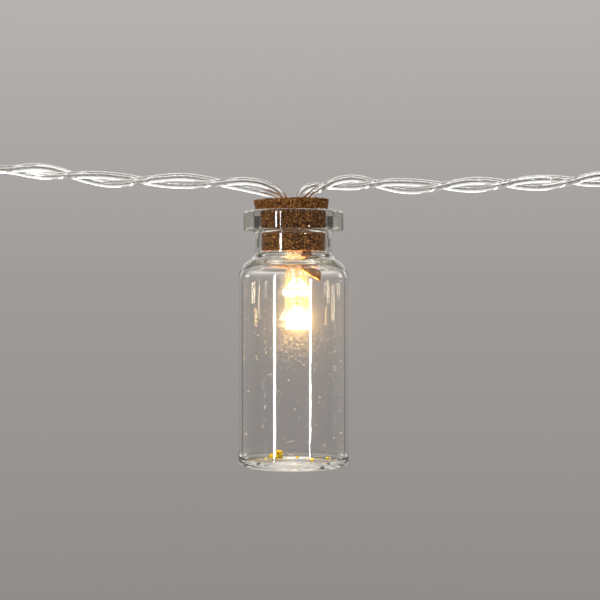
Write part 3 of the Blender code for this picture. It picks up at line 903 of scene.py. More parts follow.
def smooth_route(rows: np.ndarray, step: float) -> np.ndarray:
    """Draw one smooth curve through the rows of a route.

    Args:
        rows: x, z and half turns, one row for each point.
        step: Length between samples.

    Returns:
        Close samples of the same three numbers.
    """
    chord = np.hypot(np.diff(rows[:, 0]), np.diff(rows[:, 1]))
    slopes = np.gradient(rows, np.concatenate([[0.0], np.cumsum(chord)]), axis=0)
    samples = []
    for i, length in enumerate(chord):
        share = np.linspace(0.0, 1.0, max(2, round(length / step)), endpoint=False)[:, None]
        square, cube = share**2, share**3
        samples.append(
            (2 * cube - 3 * square + 1) * rows[i]
            + (cube - 2 * square + share) * length * slopes[i]
            + (3 * square - 2 * cube) * rows[i + 1]
            + (cube - square) * length * slopes[i + 1]
        )
    return np.concatenate([*samples, rows[-1:]])


@dataclass
class TwistedCord:
    """The two insulated wires on one side of the jar, from the connector down to the lamp."""

    side: Side
    route: tuple[tuple[float, float, float], ...]
    wire_diameter: float = 1.5 * MM
    twist_radius: float = 0.81 * MM
    strand_diameter: float = 0.14 * MM
    strand_lay: float = 9.0 * MM
    bare_length: float = 1.0 * MM
    step: float = 0.3 * MM
    twist_start: float = 35.0 * MM
    twist_end: float = 12.0 * MM
    cork_top: float = -3.2 * MM
    # Painted glow of the lamp's light on the wires: heights in millimetres, rising, and the light at each
    light: tuple[tuple[float, Colour], ...] = (
        (-17.0, (0.2, 0.1, 0.015)),
        (-15.0, (0.075, 0.03, 0.004)),
        (-13.0, (0.06, 0.02, 0.002)),
        (-9.0, (0.05, 0.014, 0.001)),
        (-3.2, (0.03, 0.01, 0.001)),
        (-1.6, (0.0, 0.0, 0.0)),
    )

    def wire_path(self, half_turn: int) -> np.ndarray:
        """Give the centre line of one wire.

        Args:
            half_turn: 0 for the first wire and 1 for the other.

        Returns:
            Its points from the connector to the lamp, one a row.
        """
        rows = np.array(self.route) * (MM, MM, 1.0)
        samples = smooth_route(rows, self.step)
        along = np.gradient(samples[:, :2], axis=0) * -self.side.value
        along /= np.linalg.norm(along, axis=1)[:, None]
        if self.side is Side.RIGHT:
            along = np.gradient(samples[:, :2], axis=0) * -1.0
            along /= np.linalg.norm(along, axis=1)[:, None]
        phase = math.pi * (samples[:, 2] + half_turn)
        up, depth = self.twist_radius * np.sin(phase), self.twist_radius * np.cos(phase)
        return np.stack([samples[:, 0] - along[:, 1] * up, -depth, samples[:, 1] + along[:, 0] * up], axis=1)

    def strands(self, path: np.ndarray) -> np.ndarray:
        """Give the outline of seven strands twisted together.

        Args:
            path: The conductor's centre line.

        Returns:
            Radii for each ring and point round it.
        """
        around = np.linspace(0.0, TURN, 36, endpoint=False)
        length = np.concatenate([[0.0], np.cumsum(np.linalg.norm(np.diff(path, axis=0), axis=1))])
        angle = around[None, :] + TURN * length[:, None] / self.strand_lay
        lobe = (angle % (TURN / 6)) - TURN / 12
        radius = self.strand_diameter / 2
        inside = np.maximum(radius**2 - (2 * radius * np.sin(lobe)) ** 2, 0.0)
        return 2 * radius * np.cos(lobe) + np.sqrt(inside)

    def build(self, connector: list[bpy.types.Object]) -> None:
        """Build both wires with their conductors.

        Args:
            connector: The pieces of the connector at the far end; not used.
        """
        side = self.side.name.lower()
        for half_turn, letter in enumerate("ab"):
            path = self.wire_path(half_turn)
            jacket = tube(f"{side}_wire_{letter}", path, self.wire_diameter / 2, 32)
            paint_light(jacket, self.light)
            bare = np.vstack([path, path[-1:] - (0.0, 0.0, self.bare_length)])
            wire = place_piece(
                jacket, INSULATION, None, [f"{side}_cord_{letter}", f"{side}_drop_wire_{letter}"]
            )
            conductor = place_piece(
                tube(f"{side}_strands_{letter}", bare, self.strands(bare), 36),
                TINNED_STRANDS,
                None,
                [f"{side}_core_{letter}", f"{side}_drop_core_{letter}"],
            )
            for piece in (wire, conductor):
                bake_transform(piece)


class ConnectorKind(Enum):
    """The two halves of an in-line connector."""

    PLUG = "plug"
    SOCKET = "socket"


@dataclass
class Connector:
    """A clear moulded two-pin connector at the end of a cord, lying along X."""

    kind: ConnectorKind
    side: Side
    end: tuple[float, float]
    relief_length: float = 4.98 * MM
    relief_tip: float = 2.0 * MM
    relief_root: float = 2.6 * MM
    rib_count: int = 5
    rib_depth: float = 0.22 * MM
    shell_gap: float = 0.08 * MM
    shell_length: float = 11.0 * MM
    shell_radius: float = 3.2 * MM
    shell_rounding: float = 0.5 * MM
    groove_count: int = 3
    groove_pitch: float = 1.8 * MM
    groove_start: float = 2.0 * MM
    groove_depth: float = 0.25 * MM
    pin_pitch: float = 2.6 * MM
    pin_radius: float = 0.5 * MM
    pin_reach: float = 4.0 * MM
    pin_seat: float = 3.0 * MM
    contact_wall: float = 0.2 * MM
    contact_length: float = 5.0 * MM
    fit: float = 0.08 * MM

    def laid(self, mesh: bpy.types.Mesh, start: float, y: float = 0.0) -> bpy.types.Mesh:
        """Lay an upright mesh along the cord.

        Args:
            mesh: A mesh that points up from the origin.
            start: How far past the end of the cord it begins.
            y: How far it lies from the middle of the connector.

        Returns:
            The same mesh.
        """
        turn = Matrix.Rotation(self.side.value * math.pi / 2, 4, "Y")
        place = (self.end[0] + self.side.value * start, y, self.end[1])
        mesh.transform(Matrix.Translation(place) @ turn)
        return mesh

    def relief_profile(self) -> Profile:
        """Give the ribbed strain relief, wider towards the shell."""
        steps = 120
        profile: Profile = [(0.0, 0.0), (self.relief_tip - 0.25 * MM, 0.0)]
        for i in range(steps + 1):
            share = i / steps
            rib = 0.5 - 0.5 * math.cos(TURN * self.rib_count * share)
            radius = self.relief_tip + (self.relief_root - self.relief_tip) * share - self.rib_depth * rib
            profile.append((radius, 0.2 * MM + (self.relief_length - 0.2 * MM) * share))
        return [*profile, (0.0, self.relief_length)]

    def shell_profile(self) -> Profile:
        """Give the shell, with rounded corners and grooves for the grip."""
        corner = self.shell_rounding
        profile: Profile = [(0.0, 0.0)]
        profile += arc((self.shell_radius - corner, corner), corner, -90, 0, 8)
        steps = 24
        for groove in range(self.groove_count):
            middle = self.groove_start + groove * self.groove_pitch
            for i in range(steps + 1):
                share = i / steps
                dip = (0.5 - 0.5 * math.cos(TURN * share)) ** 0.6
                profile.append((self.shell_radius - self.groove_depth * dip, middle + (share - 0.5) * self.groove_pitch / 2))
        profile += arc((self.shell_radius - corner, self.shell_length - corner), corner, 0, 90, 8)
        return [*profile, (0.0, self.shell_length)]

    def contact_profile(self) -> Profile:
        """Give a pin with a round nose, or the tube of a socket contact."""
        if self.kind is ConnectorKind.PLUG:
            nose = arc((0.0, self.pin_reach - self.pin_radius), self.pin_radius, 90, 0, 10)
            return [*nose, (self.pin_radius, -self.pin_seat), (0.0, -self.pin_seat)]
        inner = self.pin_radius + self.fit
        outer = inner + self.contact_wall
        floor = -self.contact_length + self.contact_wall
        flare = arc((outer, 0.0), self.contact_wall, 180, 90, 5)
        return [(0.0, floor), (inner, floor), *[(r, z - self.contact_wall) for r, z in flare], (outer, -self.contact_length), (0.0, -self.contact_length)]

    def build(self) -> list[bpy.types.Object]:
        """Build the connector.

        Returns:
            Its pieces.
        """
        name = self.kind.value
        relief = self.laid(turned(f"{name}_ribbed_relief", self.relief_profile(), 64), 0.02 * MM)
        shell_start = self.relief_length + 0.02 * MM + self.shell_gap
        shell = self.laid(turned(f"{name}_moulded_shell", self.shell_profile(), 72), shell_start)
        shell.set_sharp_from_angle(angle=math.radians(50))
        pieces = [
            place_piece(relief, MOULDED_CLEAR, Body.CORD, [f"{name}_strain_relief"]),
            place_piece(shell, MOULDED_CLEAR, Body.CORD, [f"{name}_shell"]),
        ]
        face = shell_start + self.shell_length
        seat = self.pin_seat if self.kind is ConnectorKind.PLUG else self.contact_length
        outer = self.pin_radius + (0.0 if self.kind is ConnectorKind.PLUG else self.fit + self.contact_wall)
        replaced = "plug_pin" if self.kind is ConnectorKind.PLUG else "socket_contact"
        for letter, y in (("a", -self.pin_pitch / 2), ("b", self.pin_pitch / 2)):
            bore: Profile = [(0.0, -seat - self.fit), (outer + self.fit, -seat - self.fit), (outer + self.fit, MM), (0.0, MM)]
            self.cut(pieces[1], self.laid(turned("bore", bore, 32), face, y))
            contact = self.laid(turned(f"{name}_contact_{letter}", self.contact_profile(), 40), face, y)
            contact.set_sharp_from_angle(angle=math.radians(50))
            pieces.append(place_piece(contact, PIN_BRASS, Body.CORD, [f"{replaced}_{letter}"]))
        return pieces

    @staticmethod
    def cut(piece: bpy.types.Object, tool_mesh: bpy.types.Mesh) -> None:
        """Cut a hole of the tool's shape into a piece.

        Args:
            piece: The piece to cut.
            tool_mesh: What is taken away.
        """
        tool = bpy.data.objects.new("cutter", tool_mesh)
        bpy.context.scene.collection.objects.link(tool)
        cutter = piece.modifiers.new("Bore", "BOOLEAN")
        cutter.object, cutter.operation, cutter.solver = tool, "DIFFERENCE", "EXACT"
        graph = bpy.context.evaluated_depsgraph_get()
        made = bpy.data.meshes.new_from_object(piece.evaluated_get(graph))
        piece.modifiers.clear()
        old, piece.data = piece.data, made
        name = old.name
        bpy.data.meshes.remove(old)
        made.name = name
        bpy.data.objects.remove(tool, do_unlink=True)


# Lamp


@dataclass
class Lamp:
    """The lamp: a five-millimetre flanged epoxy barrel on its leads, with a clear sleeve over the joints."""

    x: float = 0.7 * MM
    top: float = -21.1 * MM
    lens_radius: float = 2.55 * MM
    lens_length: float = 7.9 * MM
    flange_radius: float = 2.9 * MM
    flange_thickness: float = 1.1 * MM
    tip_rim: float = 0.35 * MM
    tip_recess: float = 1.3 * MM
    sleeve_bottom: float = -20.95 * MM
    sleeve_top: float = -15.95 * MM
    sleeve_bore: float = 2.02 * MM
    sleeve_wall: float = 0.25 * MM
    sleeve_flare: float = 0.4 * MM
    sleeve_flare_length: float = 0.9 * MM
    wire_end: float = -16.75 * MM
    solder_top: float = -17.83 * MM
    solder_height: float = 1.2 * MM
    solder_width: float = 2.3 * MM
    solder_depth: float = 1.05 * MM
    lead_pitch: float = 2.5 * MM
    lead_thickness: float = 0.5 * MM
    lead_bottom: float = -24.5 * MM
    anvil_width: float = 1.5 * MM
    anvil_height: float = 1.4 * MM
    anvil_front: float = 0.75 * MM
    anode_width: float = 1.0 * MM
    anode_height: float = 1.0 * MM
    cup_radius: float = 0.6 * MM
    cup_floor: float = 0.42 * MM
    cup_depth: float = 0.5 * MM
    chip_width: float = 0.45 * MM
    chip_height: float = 0.25 * MM
    lean: float = 0.045
    lens_light: tuple[tuple[float, Colour], ...] = (
        (-29.0, (0.8, 0.62, 0.36)),
        (-28.2, (0.75, 0.6, 0.32)),
        (-26.5, (0.5, 0.42, 0.2)),
        (-24.5, (0.36, 0.31, 0.1)),
        (-22.6, (0.36, 0.31, 0.1)),
        (-22.2, (0.8, 0.68, 0.36)),
        (-21.0, (1.5, 1.25, 0.8)),
    )
    # Painted glow of the lamp's light on the resin bead: heights in millimetres and the light at each
    bead_light: tuple[tuple[float, Colour], ...] = (
        (-21.0, (1.6, 1.3, 0.75)),
        (-19.8, (0.8, 0.62, 0.28)),
        (-18.2, (0.3, 0.2, 0.06)),
    )
    # Painted glow of the lamp's light on the sleeve: heights in millimetres and the light at each
    sleeve_light: tuple[tuple[float, Colour], ...] = (
        (-21.0, (0.22, 0.15, 0.045)),
        (-18.5, (0.16, 0.095, 0.018)),
        (-15.9, (0.08, 0.036, 0.004)),
    )
    lights: tuple[tuple[float, float, float], ...] = ((0.0, -27.0, 0.035), (-3.6, -20.6, 0.02), (3.6, -20.6, 0.02))

    def build_lens(self) -> None:
        """Build the barrel with its flange and hollow tip, and the cone of light over the tip."""
        flange_z = self.top - self.flange_thickness
        tip_z = self.top - self.lens_length
        ease = 0.12 * MM
        hollow = [
            (self.lens_radius - self.tip_rim - (self.lens_radius - self.tip_rim) * share, tip_z + self.tip_recess * share**0.8)
            for share in (0.0, 0.04, 0.1, 0.2, 0.35, 0.5, 0.65, 0.8, 0.92, 1.0)
        ]
        profile: Profile = [(0.0, self.top)]
        profile += arc((self.flange_radius - ease, self.top - ease), ease, 90, 0, 5)
        profile += arc((self.flange_radius - ease, flange_z + ease), ease, 0, -90, 5)
        profile += arc((self.lens_radius + ease, flange_z - ease), ease, 90, 180, 5)
        profile += arc((self.lens_radius - self.tip_rim / 2, tip_z + self.tip_rim / 2), self.tip_rim / 2, 0, -90, 6)
        profile += hollow
        lens_mesh = turned("lens_barrel", even_steps(profile, 0.25 * MM), 96, x=self.x)
        paint_light(lens_mesh, self.lens_light)
        bell_top, bell_bottom = self.top - 3.25 * MM, tip_z + self.tip_recess + 0.3 * MM
        bell: Profile = [(0.0, bell_top)]
        for i in range(1, 21):
            share = i / 20
            bell.append((1.45 * MM * share**0.7, bell_top + (bell_bottom - bell_top) * share))
        bell += [(1.2 * MM, bell_bottom - 0.1 * MM), (0.0, bell_bottom + 0.2 * MM)]
        bell_mesh = turned("lens_light_cone", bell, 64, x=self.x)

        def leaned(point: Vector, _: Vector) -> Vector:
            """Let the lens lean a little out of the upright."""
            return point + Vector(((self.top - point.z) * self.lean, 0.0, 0.0))

        for mesh in (lens_mesh, bell_mesh):
            reshape(mesh, leaned)
        lens = place_piece(lens_mesh, LENS_EPOXY, Body.LAMP, ["lamp_lens"])
        cone = place_piece(bell_mesh, CONE_OF_LIGHT, Body.LAMP)
        for piece in (lens, cone):
            piece.visible_shadow = False

    def build_lead_frame(self) -> None:
        """Build both leads, the chip in its cup and the bond wire."""
        half = self.lead_thickness / 2
        pitch = self.lead_pitch / 2
        post_top = self.solder_top - self.solder_height - 0.08 * MM
        for name, side, width, height, reach in (
            ("anode", -1, self.anode_width, self.anode_height, half),
            ("cathode", 1, self.anvil_width, self.anvil_height, pitch + self.anvil_front),
        ):
            near, far = side * (pitch - reach), side * (pitch + half)
            head: Profile = [
                (-width / 2, self.lead_bottom),
                (width / 2, self.lead_bottom),
                (width / 2, self.lead_bottom + 0.6 * height),
                (half, self.lead_bottom + height),
                (-half, self.lead_bottom + height),
                (-width / 2, self.lead_bottom + 0.8 * height),
            ]
            block = plate(
                f"{name}_head", head, abs(far - near), 0.08 * MM, Matrix.Translation((self.x, (near + far) / 2, 0.0))
            )
            post = plate(
                f"{name}_post",
                [(-half, self.lead_bottom + height / 2), (half, self.lead_bottom + height / 2), (half, post_top), (-half, post_top)],
                self.lead_thickness,
                0.06 * MM,
                Matrix.Translation((self.x, side * pitch, 0.0)),
            )
            place_piece(joined(f"{name}_frame", [block, post]), TINNED_LEAD, Body.LAMP, [f"{name}_lead"])
        cup: Profile = [
            (0.0, self.lead_bottom - 0.06 * MM),
            (self.cup_floor, self.lead_bottom - 0.06 * MM),
            (self.cup_radius, self.lead_bottom - self.cup_depth * 0.7),
            (self.cup_radius + 0.12 * MM, self.lead_bottom - self.cup_depth * 0.7),
            (self.cup_radius + 0.12 * MM, self.lead_bottom + 0.05 * MM),
            (0.0, self.lead_bottom + 0.05 * MM),
        ]
        place_piece(turned("reflector_cup", cup, 40, x=self.x), TINNED_LEAD, Body.LAMP)
        half_chip = self.chip_width / 2
        chip = plate(
            "glowing_chip",
            [
                (-half_chip, self.lead_bottom - 0.1 * MM - self.chip_height),
                (half_chip, self.lead_bottom - 0.1 * MM - self.chip_height),
                (half_chip, self.lead_bottom - 0.1 * MM),
                (-half_chip, self.lead_bottom - 0.1 * MM),
            ],
            self.chip_width,
            0.04 * MM,
            Matrix.Translation((self.x, 0.0, 0.0)),
        )
        place_piece(chip, CHIP_PHOSPHOR, Body.LAMP, ["light_chip"])
        low = self.lead_bottom - 0.1 * MM - self.chip_height
        share = np.linspace(0.0, 1.0, 24)
        bond = np.stack(
            [
                np.full(24, self.x),
                -self.lead_pitch / 2 * share,
                low - 0.35 * MM * np.sin(math.pi * share) + (self.lead_bottom - low) * share,
            ],
            axis=1,
        )
        place_piece(tube("bond_wire", bond, 0.02 * MM, 8), BOND_GOLD, Body.LAMP)

    def build_joints(self) -> None:
        """Build the solder on both joints and the resin that fills the foot of the sleeve, with the lamp's light
        painted on the resin as a glow.
        """
        middle = self.solder_top - self.solder_height / 2
        outer = self.lead_pitch / 2 + self.lead_thickness / 2
        for name, side in (("anode", -1), ("cathode", 1)):
            centre = Vector((self.x, side * (outer - self.solder_depth / 2), middle))
            blob = lump(f"{name}_solder_joint", Vector(), 0.5, 3.0 + side, 4)

            def shaped(point: Vector, _: Vector) -> Vector:
                """Stretch the blob to the joint's size."""
                sizes = (self.solder_width, self.solder_depth, self.solder_height)
                return centre + Vector([axis * size * 0.88 for axis, size in zip(point, sizes)])

            reshape(blob, shaped)
            place_piece(blob, BRIGHT_SOLDER, Body.LAMP, [f"{name}_solder"])
        foot, crown = self.sleeve_bottom + 0.04 * MM, -18.2 * MM
        bead: Profile = [(0.0, crown)]
        bead += [
            ((self.sleeve_bore - 0.1 * MM) * (1.0 - (1.0 - i / 16) ** 1.6) + 0.1 * MM, crown + (foot - crown) * (i / 16) ** 1.1)
            for i in range(1, 17)
        ]
        bead.append((0.0, foot))
        mesh = turned("joint_resin_bead", bead, 64, x=self.x)
        paint_light(mesh, self.bead_light)
        bead_piece = place_piece(mesh, JOINT_RESIN, Body.LAMP)
        bead_piece.visible_shadow = False

    def build_sleeve(self) -> None:
        """Build the clear sleeve, drawn in over the wires and flared over the lamp, with the lamp's light painted on it
        as a glow.
        """
        bore, wall = self.sleeve_bore, self.sleeve_wall
        steps = 40
        inner: Profile = []
        outer: Profile = []
        for i in range(steps + 1):
            z = self.sleeve_top + (self.sleeve_bottom - self.sleeve_top) * i / steps
            flare = max(0.0, 1.0 - (z - self.sleeve_bottom) / self.sleeve_flare_length) ** 1.5 * self.sleeve_flare
            crease = 0.03 * MM * math.sin(11.0 * i / steps * math.pi) * math.sin(math.pi * i / steps)
            outer.append((bore + wall + flare + crease, z))
            inner.append((bore + flare + crease, z))
        mesh = turned("shrunk_sleeve", outer + inner[::-1], 96, loop=True, x=self.x)
        mesh.set_sharp_from_angle(angle=math.radians(60))
        paint_light(mesh, self.sleeve_light)
        sleeve = place_piece(mesh, SHRUNK_SLEEVE, Body.LAMP, ["joint_sleeve"])
        sleeve.visible_shadow = False

    def build_lights(self) -> None:
        """Add the light that the lamp throws on the cork, the crumbs and the dust."""
        for i, (y, z, power) in enumerate(self.lights):
            data = bpy.data.lights.new(f"lamp_light_{i}", "POINT")
            data.energy = power
            data.color = (1.0, 0.66, 0.27)
            data.shadow_soft_size = 0.8 * MM
            light = bpy.data.objects.new(data.name, data)
            bpy.context.scene.collection.objects.link(light)
            light.location = (self.x, y * MM, z * MM)
            light.visible_camera = light.visible_glossy = light.visible_transmission = False
            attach(light, Body.LAMP.value)

    def build(self) -> None:
        """Build the whole lamp."""
        self.build_lens()
        self.build_lead_frame()
        self.build_joints()
        self.build_sleeve()
        self.build_lights()


# Cork


@dataclass
class CorkStopper:
    """The stopper of pressed cork, with the hole for the wires and a sliver torn loose below."""

    top: float = -3.2 * MM
    bottom: float = -13.6 * MM
    top_radius: float = 7.65 * MM
    lip_top: float = -5.4 * MM
    head_radius: float = 7.2 * MM
    neck_radius: float = 6.45 * MM
    rounding: float = 0.3 * MM
    hole_radius: float = 2.05 * MM
    funnel_radius: float = 3.85 * MM
    funnel_depth: float = 2.9 * MM
    mouth_worn: float = 0.3 * MM
    granule: float = 0.62 * MM
    small_granule: float = 0.3 * MM
    relief: float = 0.11 * MM
    sliver_width: float = 4.3 * MM
    sliver_hang: float = 5.9 * MM
    sliver_thickness: float = 0.8 * MM
    sliver_offset: float = 3.75 * MM
    sliver_angle: float = 25.0

    def grain_at(self, point: Vector) -> tuple[float, float, float]:
        """Find the granule that a point of the cork belongs to.

        Args:
            point: The point.

        Returns:
            How far the surface stands out there, the granule's shade, and how deep in a seam the point is.
        """
        near, middles = noise.voronoi(point / self.granule)
        close, spots = noise.voronoi(point / self.small_granule)
        edge = min(1.0, (near[1] - near[0]) * 3.0)
        fine_edge = min(1.0, (close[1] - close[0]) * 3.0)
        shade = 0.5 + 0.5 * noise.noise(middles[0] * 5.3)
        fine_shade = 0.5 + 0.5 * noise.noise(spots[0] * 7.7)
        height = 0.55 * (shade - 0.5) * 2.0 + 0.6 * edge + 0.25 * fine_edge - 0.6
        crevice = max(0.0, 1.0 - 1.6 * edge) * 0.8 + max(0.0, 0.6 - 1.5 * fine_edge) * 0.5
        return height, 0.35 + 0.9 * (shade - 0.5) + 0.8 * (fine_shade - 0.4), min(1.0, crevice)

    def granulate(self, mesh: bpy.types.Mesh, share: float = 1.0) -> None:
        """Give a smooth mesh the surface of pressed granules.

        Args:
            mesh: The mesh to change.
            share: How much of the relief it gets.
        """
        grain, crevice = [], []

        def pushed(point: Vector, normal: Vector) -> Vector:
            """Move a point by its granule's height, and note its shade."""
            height, shade, seam = self.grain_at(point)
            grain.append(shade)
            crevice.append(seam)
            return point + normal * height * self.relief * share

        reshape(mesh, pushed)
        store(mesh, "grain", grain)
        store(mesh, "crevice", crevice)

    def build_stopper(self) -> None:
        """Build the stopper with its ragged rim."""
        ease = self.rounding
        mouth = (self.funnel_radius + 1.5 * self.mouth_worn, self.top)
        profile: Profile = [mouth]
        profile += arc((self.top_radius - 0.15 * MM - ease, self.top - ease), ease, 90, 20, 4)
        profile += [
            (self.head_radius, self.lip_top + 0.3 * MM),
            (self.head_radius - 0.12 * MM, self.lip_top + 0.12 * MM),
            (self.neck_radius, self.lip_top - 0.5 * MM),
        ]
        profile += arc((self.neck_radius - ease - 0.1 * MM, self.bottom + ease), ease, 0, -90, 4)
        profile += [
            (self.hole_radius, self.bottom),
            (self.hole_radius, self.top - self.funnel_depth),
            (self.funnel_radius, self.top - self.mouth_worn),
            mouth,
        ]
        finer = even_steps(profile, 0.15 * MM)[:-1]
        mesh = turned("pressed_stopper", finer, 300, loop=True)

        def rimmed(point: Vector, _: Vector) -> Vector:
            """Let the top run up to the right and its rim stand out unevenly."""
            across = math.hypot(point.x, point.y)
            if across < self.hole_radius + 0.1 * MM:
                return point
            near_top = max(0.0, 1.0 - (self.top - point.z) / (1.2 * MM))
            rim = max(0.0, (across - 5.5 * MM) / (2.1 * MM)) * near_top
            ragged = noise.noise(Vector((point.x, point.y, 0.0)) / (0.38 * MM))
            coarse = noise.noise(Vector((point.x, point.y, 3.0)) / (2.6 * MM))
            out = 1.0 + rim * (0.02 * ragged + 0.014 * coarse)
            lift = near_top * (0.018 * point.x + rim * (0.26 * ragged + 0.1 * coarse) * MM)
            aside = np.interp(point.z / MM, (-8.4, -5.6, -5.0, -3.2), (0.0, -0.15, -0.42, -0.46)) * MM
            return Vector((point.x * out + aside, point.y * out, point.z + lift))

        reshape(mesh, rimmed)
        self.granulate(mesh)
        place_piece(mesh, CORK, Body.CORK, ["cork_stopper"])

    def build_sliver(self) -> None:
        """Build the torn sliver that hangs from the right of the stopper."""
        low = self.bottom - self.sliver_hang
        width, hang = self.sliver_width, self.sliver_hang
        outline: Profile = [
            (0.06 * width, self.bottom + 0.4 * MM),
            (0.42 * width, self.bottom + 0.4 * MM),
            (0.5 * width, low + 0.72 * hang),
            (0.8 * width, low + 0.53 * hang),
            (width, low + 0.4 * hang),
            (0.985 * width, low + 0.3 * hang),
            (0.95 * width, low),
            (0.74 * width, low + 0.1 * hang),
            (0.4 * width, low + 0.26 * hang),
            (0.0, low + 0.53 * hang),
        ]
        turn = math.radians(self.sliver_angle)
        middle = (self.sliver_offset * math.sin(turn), -self.sliver_offset * math.cos(turn), 0.0)
        place = Matrix.Translation(middle) @ Matrix.Rotation(turn, 4, "Z")
        mesh = plate("torn_sliver", outline, self.sliver_thickness * 0.8, 0.15 * MM, place)
        shape = bmesh.new()
        shape.from_mesh(mesh)
        bmesh.ops.triangulate(shape, faces=shape.faces[:])
        for _ in range(7):
            long = [edge for edge in shape.edges if edge.calc_length() > 0.22 * MM]
            if not long:
                break
            bmesh.ops.subdivide_edges(shape, edges=long, cuts=1)
            bmesh.ops.triangulate(shape, faces=[face for face in shape.faces if len(face.verts) > 3])
        shape.to_mesh(mesh)
        shape.free()

        def torn(point: Vector, normal: Vector) -> Vector:
            """Make the faces and edges of the sliver uneven."""
            broad = noise.noise(point / (1.1 * MM))
            return point + normal * broad * 0.16 * MM

        reshape(mesh, torn)
        self.granulate(mesh)
        mesh.shade_smooth()
        place_piece(mesh, TORN_CORK, Body.CORK)

    def build(self) -> None:
        """Build the stopper and its sliver."""
        self.build_stopper()
        self.build_sliver()


# Jar


@dataclass
class GlassJar:
    """The blown vial: one closed shell of glass with lip, neck, shoulder and pushed-up base."""

    lip_top: float = -5.4 * MM
    height: float = 50.9 * MM
    body_radius: float = 11.0 * MM
    body_wall: float = 0.9 * MM
    base_thickness: float = 0.55 * MM
    base_corner: float = 1.0 * MM
    floor_corner: float = 1.6 * MM
    push_up_height: float = 0.4 * MM
    push_up_radius: float = 6.4 * MM
    neck_radius: float = 7.7 * MM
    neck_bore: float = 6.75 * MM
    shoulder_depth: float = 13.7 * MM
    shoulder_radius: float = 4.7 * MM
    shoulder_sweep: float = 60.0
    inner_shoulder: float = 2.9 * MM
    neck_foot: float = 0.8 * MM
    lip_radius: float = 10.0 * MM
    lip_height: float = 4.1 * MM
    lip_rounding: float = 0.7 * MM
    lip_undercut: float = 1.2 * MM
    mouth_rounding: float = 0.6 * MM
    around: int = 192
    near_specks: int = 560
    far_specks: int = 105
    speck_size: tuple[float, float] = (0.05, 0.065)
    fibres: tuple[tuple[float, float, float], ...] = (
        (-1.62, -50.4 * MM, 1.5 * MM),
        (-0.7, -33.2 * MM, 0.9 * MM),
        (1.9, -42.0 * MM, 1.2 * MM),
    )
    # Painted glow of the lamp's light on the dust, brightest below the lamp: heights in millimetres and the light at
    # each
    dust_light: tuple[tuple[float, Colour], ...] = (
        (-55.0, (0.6, 0.48, 0.38)),
        (-40.0, (0.7, 0.55, 0.42)),
        (-36.0, (1.1, 0.75, 0.42)),
        (-31.0, (2.0, 1.25, 0.5)),
        (-25.0, (0.8, 0.45, 0.15)),
        (-20.0, (0.4, 0.26, 0.14)),
    )

    @property
    def base(self) -> float:
        """Height of the standing ring."""
        return self.lip_top - self.height

    @property
    def bore(self) -> float:
        """Inner radius of the straight wall."""
        return self.body_radius - self.body_wall

    def floor_rise(self, radius: float) -> float:
        """Give how far the base is pushed up at a radius."""
        return self.push_up_height * math.cos(math.pi / 2 * min(radius / self.push_up_radius, 1.0)) ** 2

    def floor_height(self, x: float, y: float) -> float:
        """Give the height of the inside of the floor at a place."""
        return self.base + self.base_thickness + self.floor_rise(math.hypot(x, y))

    def ground_at(self, x: float, y: float) -> float:
        """Give the height of the inside at a place, its rounded corner too."""
        into_corner = max(0.0, math.hypot(x, y) - (self.bore - self.floor_corner))
        rise = self.floor_corner - math.sqrt(max(0.0, self.floor_corner**2 - into_corner**2))
        return self.floor_height(x, y) + rise

    def profile(self) -> Profile:
        """Give the closed profile: up the inside from the middle of the floor, and down the outside."""
        straight_top = self.lip_top - self.shoulder_depth
        inner_top = straight_top + self.inner_shoulder
        lip_bottom = self.lip_top - self.lip_height
        shoulder = (self.body_radius - self.shoulder_radius, straight_top)
        sweep = math.radians(self.shoulder_sweep)
        meet = (
            shoulder[0] + self.shoulder_radius * math.cos(sweep),
            shoulder[1] + self.shoulder_radius * math.sin(sweep),
        )
        fillet = (meet[0] - self.neck_radius) / (1 - math.cos(sweep))
        floor = self.base + self.base_thickness
        radii = [(self.bore - self.floor_corner) * i / 80 for i in range(81)]
        inside: Profile = [(r, floor + self.floor_rise(r)) for r in radii[:-1]]
        inside += arc((self.bore - self.floor_corner, floor + self.floor_corner), self.floor_corner, -90, 0, 12)
        inside += arc((self.bore - self.inner_shoulder, straight_top), self.inner_shoulder, 0, 84, 16)
        inside += arc((self.neck_bore + self.neck_foot, inner_top + self.neck_foot), self.neck_foot, -90, -180, 10)
        mouth = (self.neck_bore + self.mouth_rounding, self.lip_top - self.mouth_rounding)
        inside += arc(mouth, self.mouth_rounding, 180, 90, 10)
        outside = arc((self.lip_radius - self.lip_rounding, self.lip_top - self.lip_rounding), self.lip_rounding, 90, 0, 10)
        outside += arc((self.lip_radius - 0.6 * MM, lip_bottom + self.lip_undercut / 2), 0.6 * MM, 0, -48, 6)
        outside += arc((self.neck_radius + 0.5 * MM, lip_bottom - self.lip_undercut / 2 - 0.1 * MM), 0.5 * MM, 130, 180, 6)
        outside += arc((self.neck_radius + fillet, meet[1] + fillet * math.sin(sweep)), fillet, 180, 180 + self.shoulder_sweep, 14)
        outside += arc(shoulder, self.shoulder_radius, self.shoulder_sweep, 0, 20)[1:]
        outside += arc((self.body_radius - self.base_corner, self.base + self.base_corner), self.base_corner, 0, -90, 14)
        outside += [(r, self.base + self.floor_rise(r)) for r in reversed(radii)]
        return inside + outside

    def build_glass(self) -> None:
        """Build the glass, with the slight unevenness of hand finishing."""
        mesh = turned("blown_vial", even_steps(self.profile(), 0.8 * MM), self.around)
        base_side = self.base + 0.6 * MM

